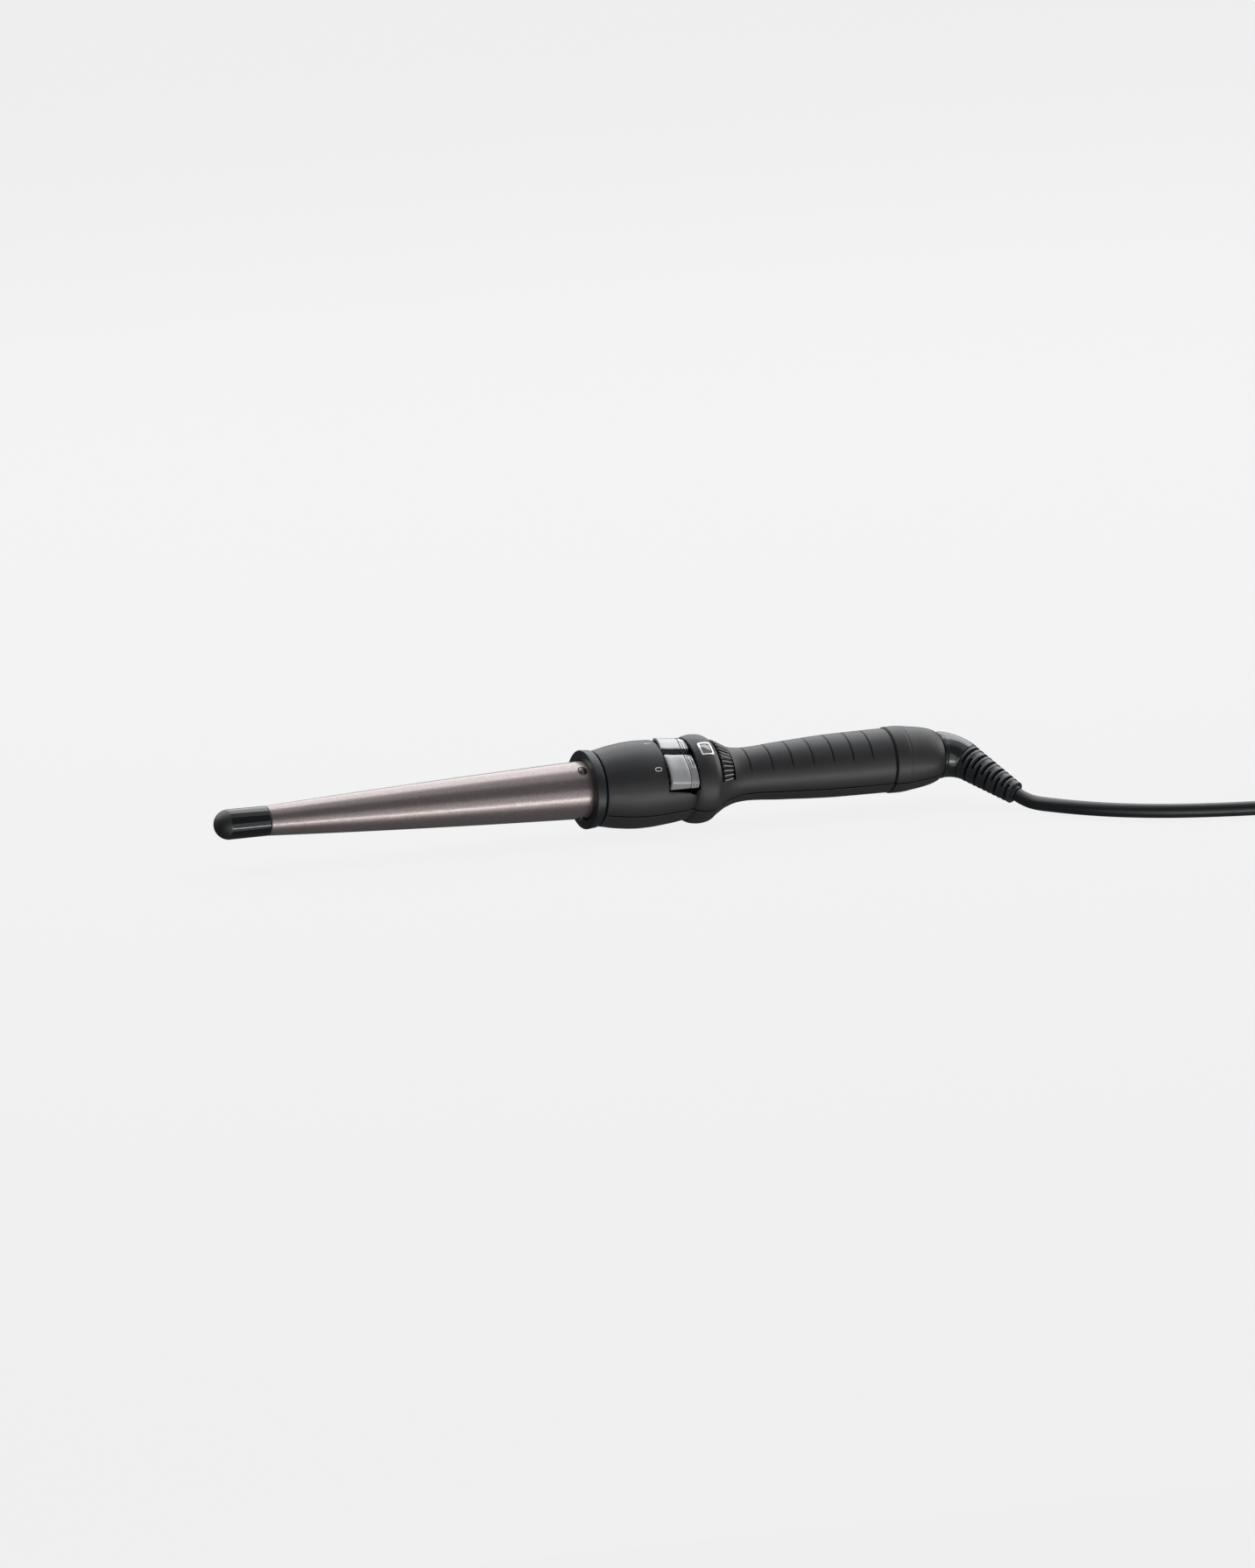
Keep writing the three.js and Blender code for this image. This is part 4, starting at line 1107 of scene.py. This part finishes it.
def tube(name, route, radius, sides=14):
    """A closed tube whose cross-section is carried along the route without twisting."""
    bm = bmesh.new()
    tangents = []
    for before, after in zip([route[0], *route], [*route[1:], route[-1]]):
        tangents.append((after - before).normalized())
    across = tangents[0].orthogonal().normalized()
    rings = []
    for point, tangent in zip(route, tangents):
        across = (across - tangent * across.dot(tangent)).normalized()
        up = tangent.cross(across)
        ring = []
        for c, s in unit_outline(2, sides):
            ring.append(bm.verts.new(point + (across * c + up * s) * radius))
        rings.append(ring)
    skin(bm, rings)
    bm.faces.new(rings[0][::-1])
    bm.faces.new(rings[-1])
    nodes = ["cord_lead", "cord_coil", "cord_tail"]
    return build(name, bm, Matrix.Identity(4), "rubber", None, nodes)


route = cord_route()
lead = tube("mains_lead", route, CORD_DIAMETER / 2)

PLUG = COIL @ Matrix.Translation((TAIL_SPARE, -TURN_RADII[-1], PLUG_HEIGHT)) @ TO_METRES
PLUG_LENGTH = 35
PLUG_HALF_WIDTH = 17.6
PLUG_HALF_THICKNESS = 6.85
PIN_SPACING = 18.6
PIN_LENGTH = 19


def plug_body():
    """A flat moulded plug: narrow at the lead, wide at the pins, with rounded edges all round."""
    thick = PLUG_HALF_THICKNESS
    sections = [
        (0, 5.2, 5.2), (0.5, 5.6, 5.5), (4, 5.8, 5.6), (7, 6.4, 5.9), (10, 7.9, 6.3), (13, 10.6, 6.6),
        (15.5, 13.6, 6.8), (17.5, 16.0, thick), (19.5, 17.3, thick), (22, PLUG_HALF_WIDTH, thick),
        (29, 17.0, thick), (34, 16.2, thick), (34.7, 15.9, 6.6), (PLUG_LENGTH, 15.5, 6.2),
    ]
    bm = bmesh.new()
    rings = []
    for x, wide, high in sections:
        power = 2 + min(3, max(0, x - 6) * 0.3)  # round at the lead, boxier towards the pins
        rings.append([bm.verts.new((x, wide * u, high * v)) for u, v in unit_outline(power, 40)])
    skin(bm, rings)
    bm.faces.new(rings[0])
    bm.faces.new(rings[-1])
    return build("plug_shape", bm, PLUG, "rubber", "wand", ["plug_body"], sharp=50)


def plug_pin(name, node, side):
    """A round pin with a rounded end, sunk into the plug."""
    radius = 2
    start, end = PLUG_LENGTH - 4.7, PLUG_LENGTH + PIN_LENGTH
    bm = turned(rounded([(start, 0), (start, radius), (end, radius), (end, 0)], 0.8), 32)
    bm.transform(Matrix.Translation((0, side * PIN_SPACING / 2, 0)))
    return build(name, bm, PLUG, "brass", "wand", [node])


def cord_tie():
    """A closed strap round the coil's section."""
    wall, half_width = 0.9, 6
    near, far, top = 18.9, 46.2, 20.4

    def outline(inset, radius):
        low, high = near + inset, far - inset
        corners = [(high, inset), (high, top - inset), (low, top - inset), (low, inset)]
        return rounded([(30, inset), *corners, (32, inset)], radius, 5)[1:-1]

    outer, inner = outline(0, 1.6), outline(wall, 0.9)
    bm = bmesh.new()
    loops = []
    for loop, x in ((outer, -half_width), (outer, half_width), (inner, half_width), (inner, -half_width)):
        loops.append([bm.verts.new((x, y, z)) for y, z in loop])
    skin(bm, loops, closed=True)
    place = COIL @ TO_METRES
    return build("cord_tie_shape", bm, place, "tie", "wand", ["cord_tie"], bevel=0.15)


plug = plug_body()
for way, side in (("left", 1), ("right", -1)):
    plug_pin(f"plug_pin_{way}_shape", f"plug_pin_{way}", side)
tie = cord_tie()
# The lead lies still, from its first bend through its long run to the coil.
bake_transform(lead)

# ---------- finishes of the CAD's own pieces

NODE_FINISHES = {
    "ceramic": ["barrel_carrier", "heater_plate", "temperature_sensor"],
    "aluminium": ["heat_spreader_upper", "heat_spreader_lower"],
    "steel": ["spreader_spring", "thermal_fuse", "casing_screw_1", "casing_screw_2", "casing_screw_3",
              "rocker_pin", "dial_spindle"],
    "plastic": ["switch_body", "potentiometer", "capacitor", "power_triac", "processor_chip",
                "brush_holder"],
    "lamp": ["indicator_lamp"],
    "brass": ["switch_contact_1", "switch_contact_2", "slip_ring_1", "slip_ring_2", "contact_brush_1",
              "contact_brush_2"],
    "board": ["control_board"],
    "sleeve": ["heater_lead_1", "heater_lead_2"],
}
for finish, names in NODE_FINISHES.items():
    for name in names:
        node = frame["nodes"][name]
        if not node.material_slots:
            node.data.materials.append(MATERIALS[finish])
        for slot in node.material_slots:
            slot.material = MATERIALS[finish]

# ---------- floor, light and view

FLOOR_LEVEL = 242 / 255
LIT_POINT = Vector((0, 0, 0.02))
COOL = (0.97, 0.985, 1.0)


def linear(value):
    """An sRGB level as a linear one."""
    return ((value + 0.055) / 1.055) ** 2.4


def floor():
    """A plain pale floor that shows one even level and casts nothing on the wand."""
    bm = bmesh.new()
    bmesh.ops.create_grid(bm, x_segments=1, y_segments=1, size=15)
    mesh = bpy.data.meshes.new("floor")
    bm.to_mesh(mesh)
    bm.free()
    plane = bpy.data.objects.new("floor", mesh)
    plane.location = (0, 0, -0.0006)
    bpy.context.collection.objects.link(plane)
    finish = Finish("floor", (0.8, 0.8, 0.8), 0.9, Specular_IOR_Level=0.0)
    level = linear(FLOOR_LEVEL)
    finish.set("Base Color", (0.03, 0.03, 0.03, 1))
    finish.set("Emission Color", (level, level, level, 1))
    finish.set("Emission Strength", 0.96)
    mesh.materials.append(finish.material)
    plane.visible_glossy = False
    plane.visible_diffuse = False
    plane.visible_shadow = False


def softbox(name, place, width, height, power, colour=(1, 1, 1)):
    """A rectangular area light at place, facing the wand, with its width level."""
    data = bpy.data.lights.new(name, "AREA")
    data.shape = "RECTANGLE"
    data.size = width
    data.size_y = height
    data.energy = power
    data.color = colour
    lamp = bpy.data.objects.new(name, data)
    lamp.location = place
    lamp.rotation_euler = (LIT_POINT - place).to_track_quat("-Z", "Y").to_euler()
    lamp.visible_camera = False
    bpy.context.collection.objects.link(lamp)


def world():
    """A dim even studio, a little brighter in reflections, and as pale as the floor to the camera."""
    scene = bpy.context.scene
    scene.world = bpy.data.worlds.new("studio")
    scene.world.use_nodes = True
    nodes = scene.world.node_tree.nodes
    links = scene.world.node_tree.links
    rays = nodes.new("ShaderNodeLightPath")
    factor, first, second, result = 0, 6, 7, 2  # a colour mix node's sockets

    def mix(ray, colour):
        mixer = nodes.new("ShaderNodeMix")
        mixer.data_type = "RGBA"
        mixer.inputs[second].default_value = (*colour, 1)
        links.new(rays.outputs[ray], mixer.inputs[factor])
        return mixer

    reflected = mix("Is Glossy Ray", (0.08, 0.084, 0.088))
    reflected.inputs[first].default_value = (0.05, 0.055, 0.06, 1)
    seen = mix("Is Camera Ray", [linear(FLOOR_LEVEL)] * 3)
    links.new(reflected.outputs[result], seen.inputs[first])
    links.new(seen.outputs[result], nodes["Background"].inputs["Color"])


def around(angle, distance):
    """A place at an angle round the wand's length, from in front of it (0) over the top to behind (180)."""
    angle = math.radians(angle)
    return LIT_POINT + Vector((0, -math.cos(angle), math.sin(angle))) * distance


floor()
world()
softbox("overhead", around(132, 1.0), 2.2, 1.3, 21, COOL)
softbox("upper_fill", around(88, 1.3), 2.4, 1.3, 4.5, COOL)
softbox("front_fill", around(-18, 1.1), 2.2, 1.2, 5.5)
softbox("front_strip", around(-26, 1.0) + Vector((0.42, 0, 0)), 1.8, 0.075, 4.4)
softbox("grip_end", Vector((1.5, 0.15, 0.75)), 1.2, 1.2, 12)

scene = bpy.context.scene
scene.view_settings.view_transform = "Standard"
scene.view_settings.look = "None"
scene.view_settings.exposure = 0
scene.view_settings.gamma = 1
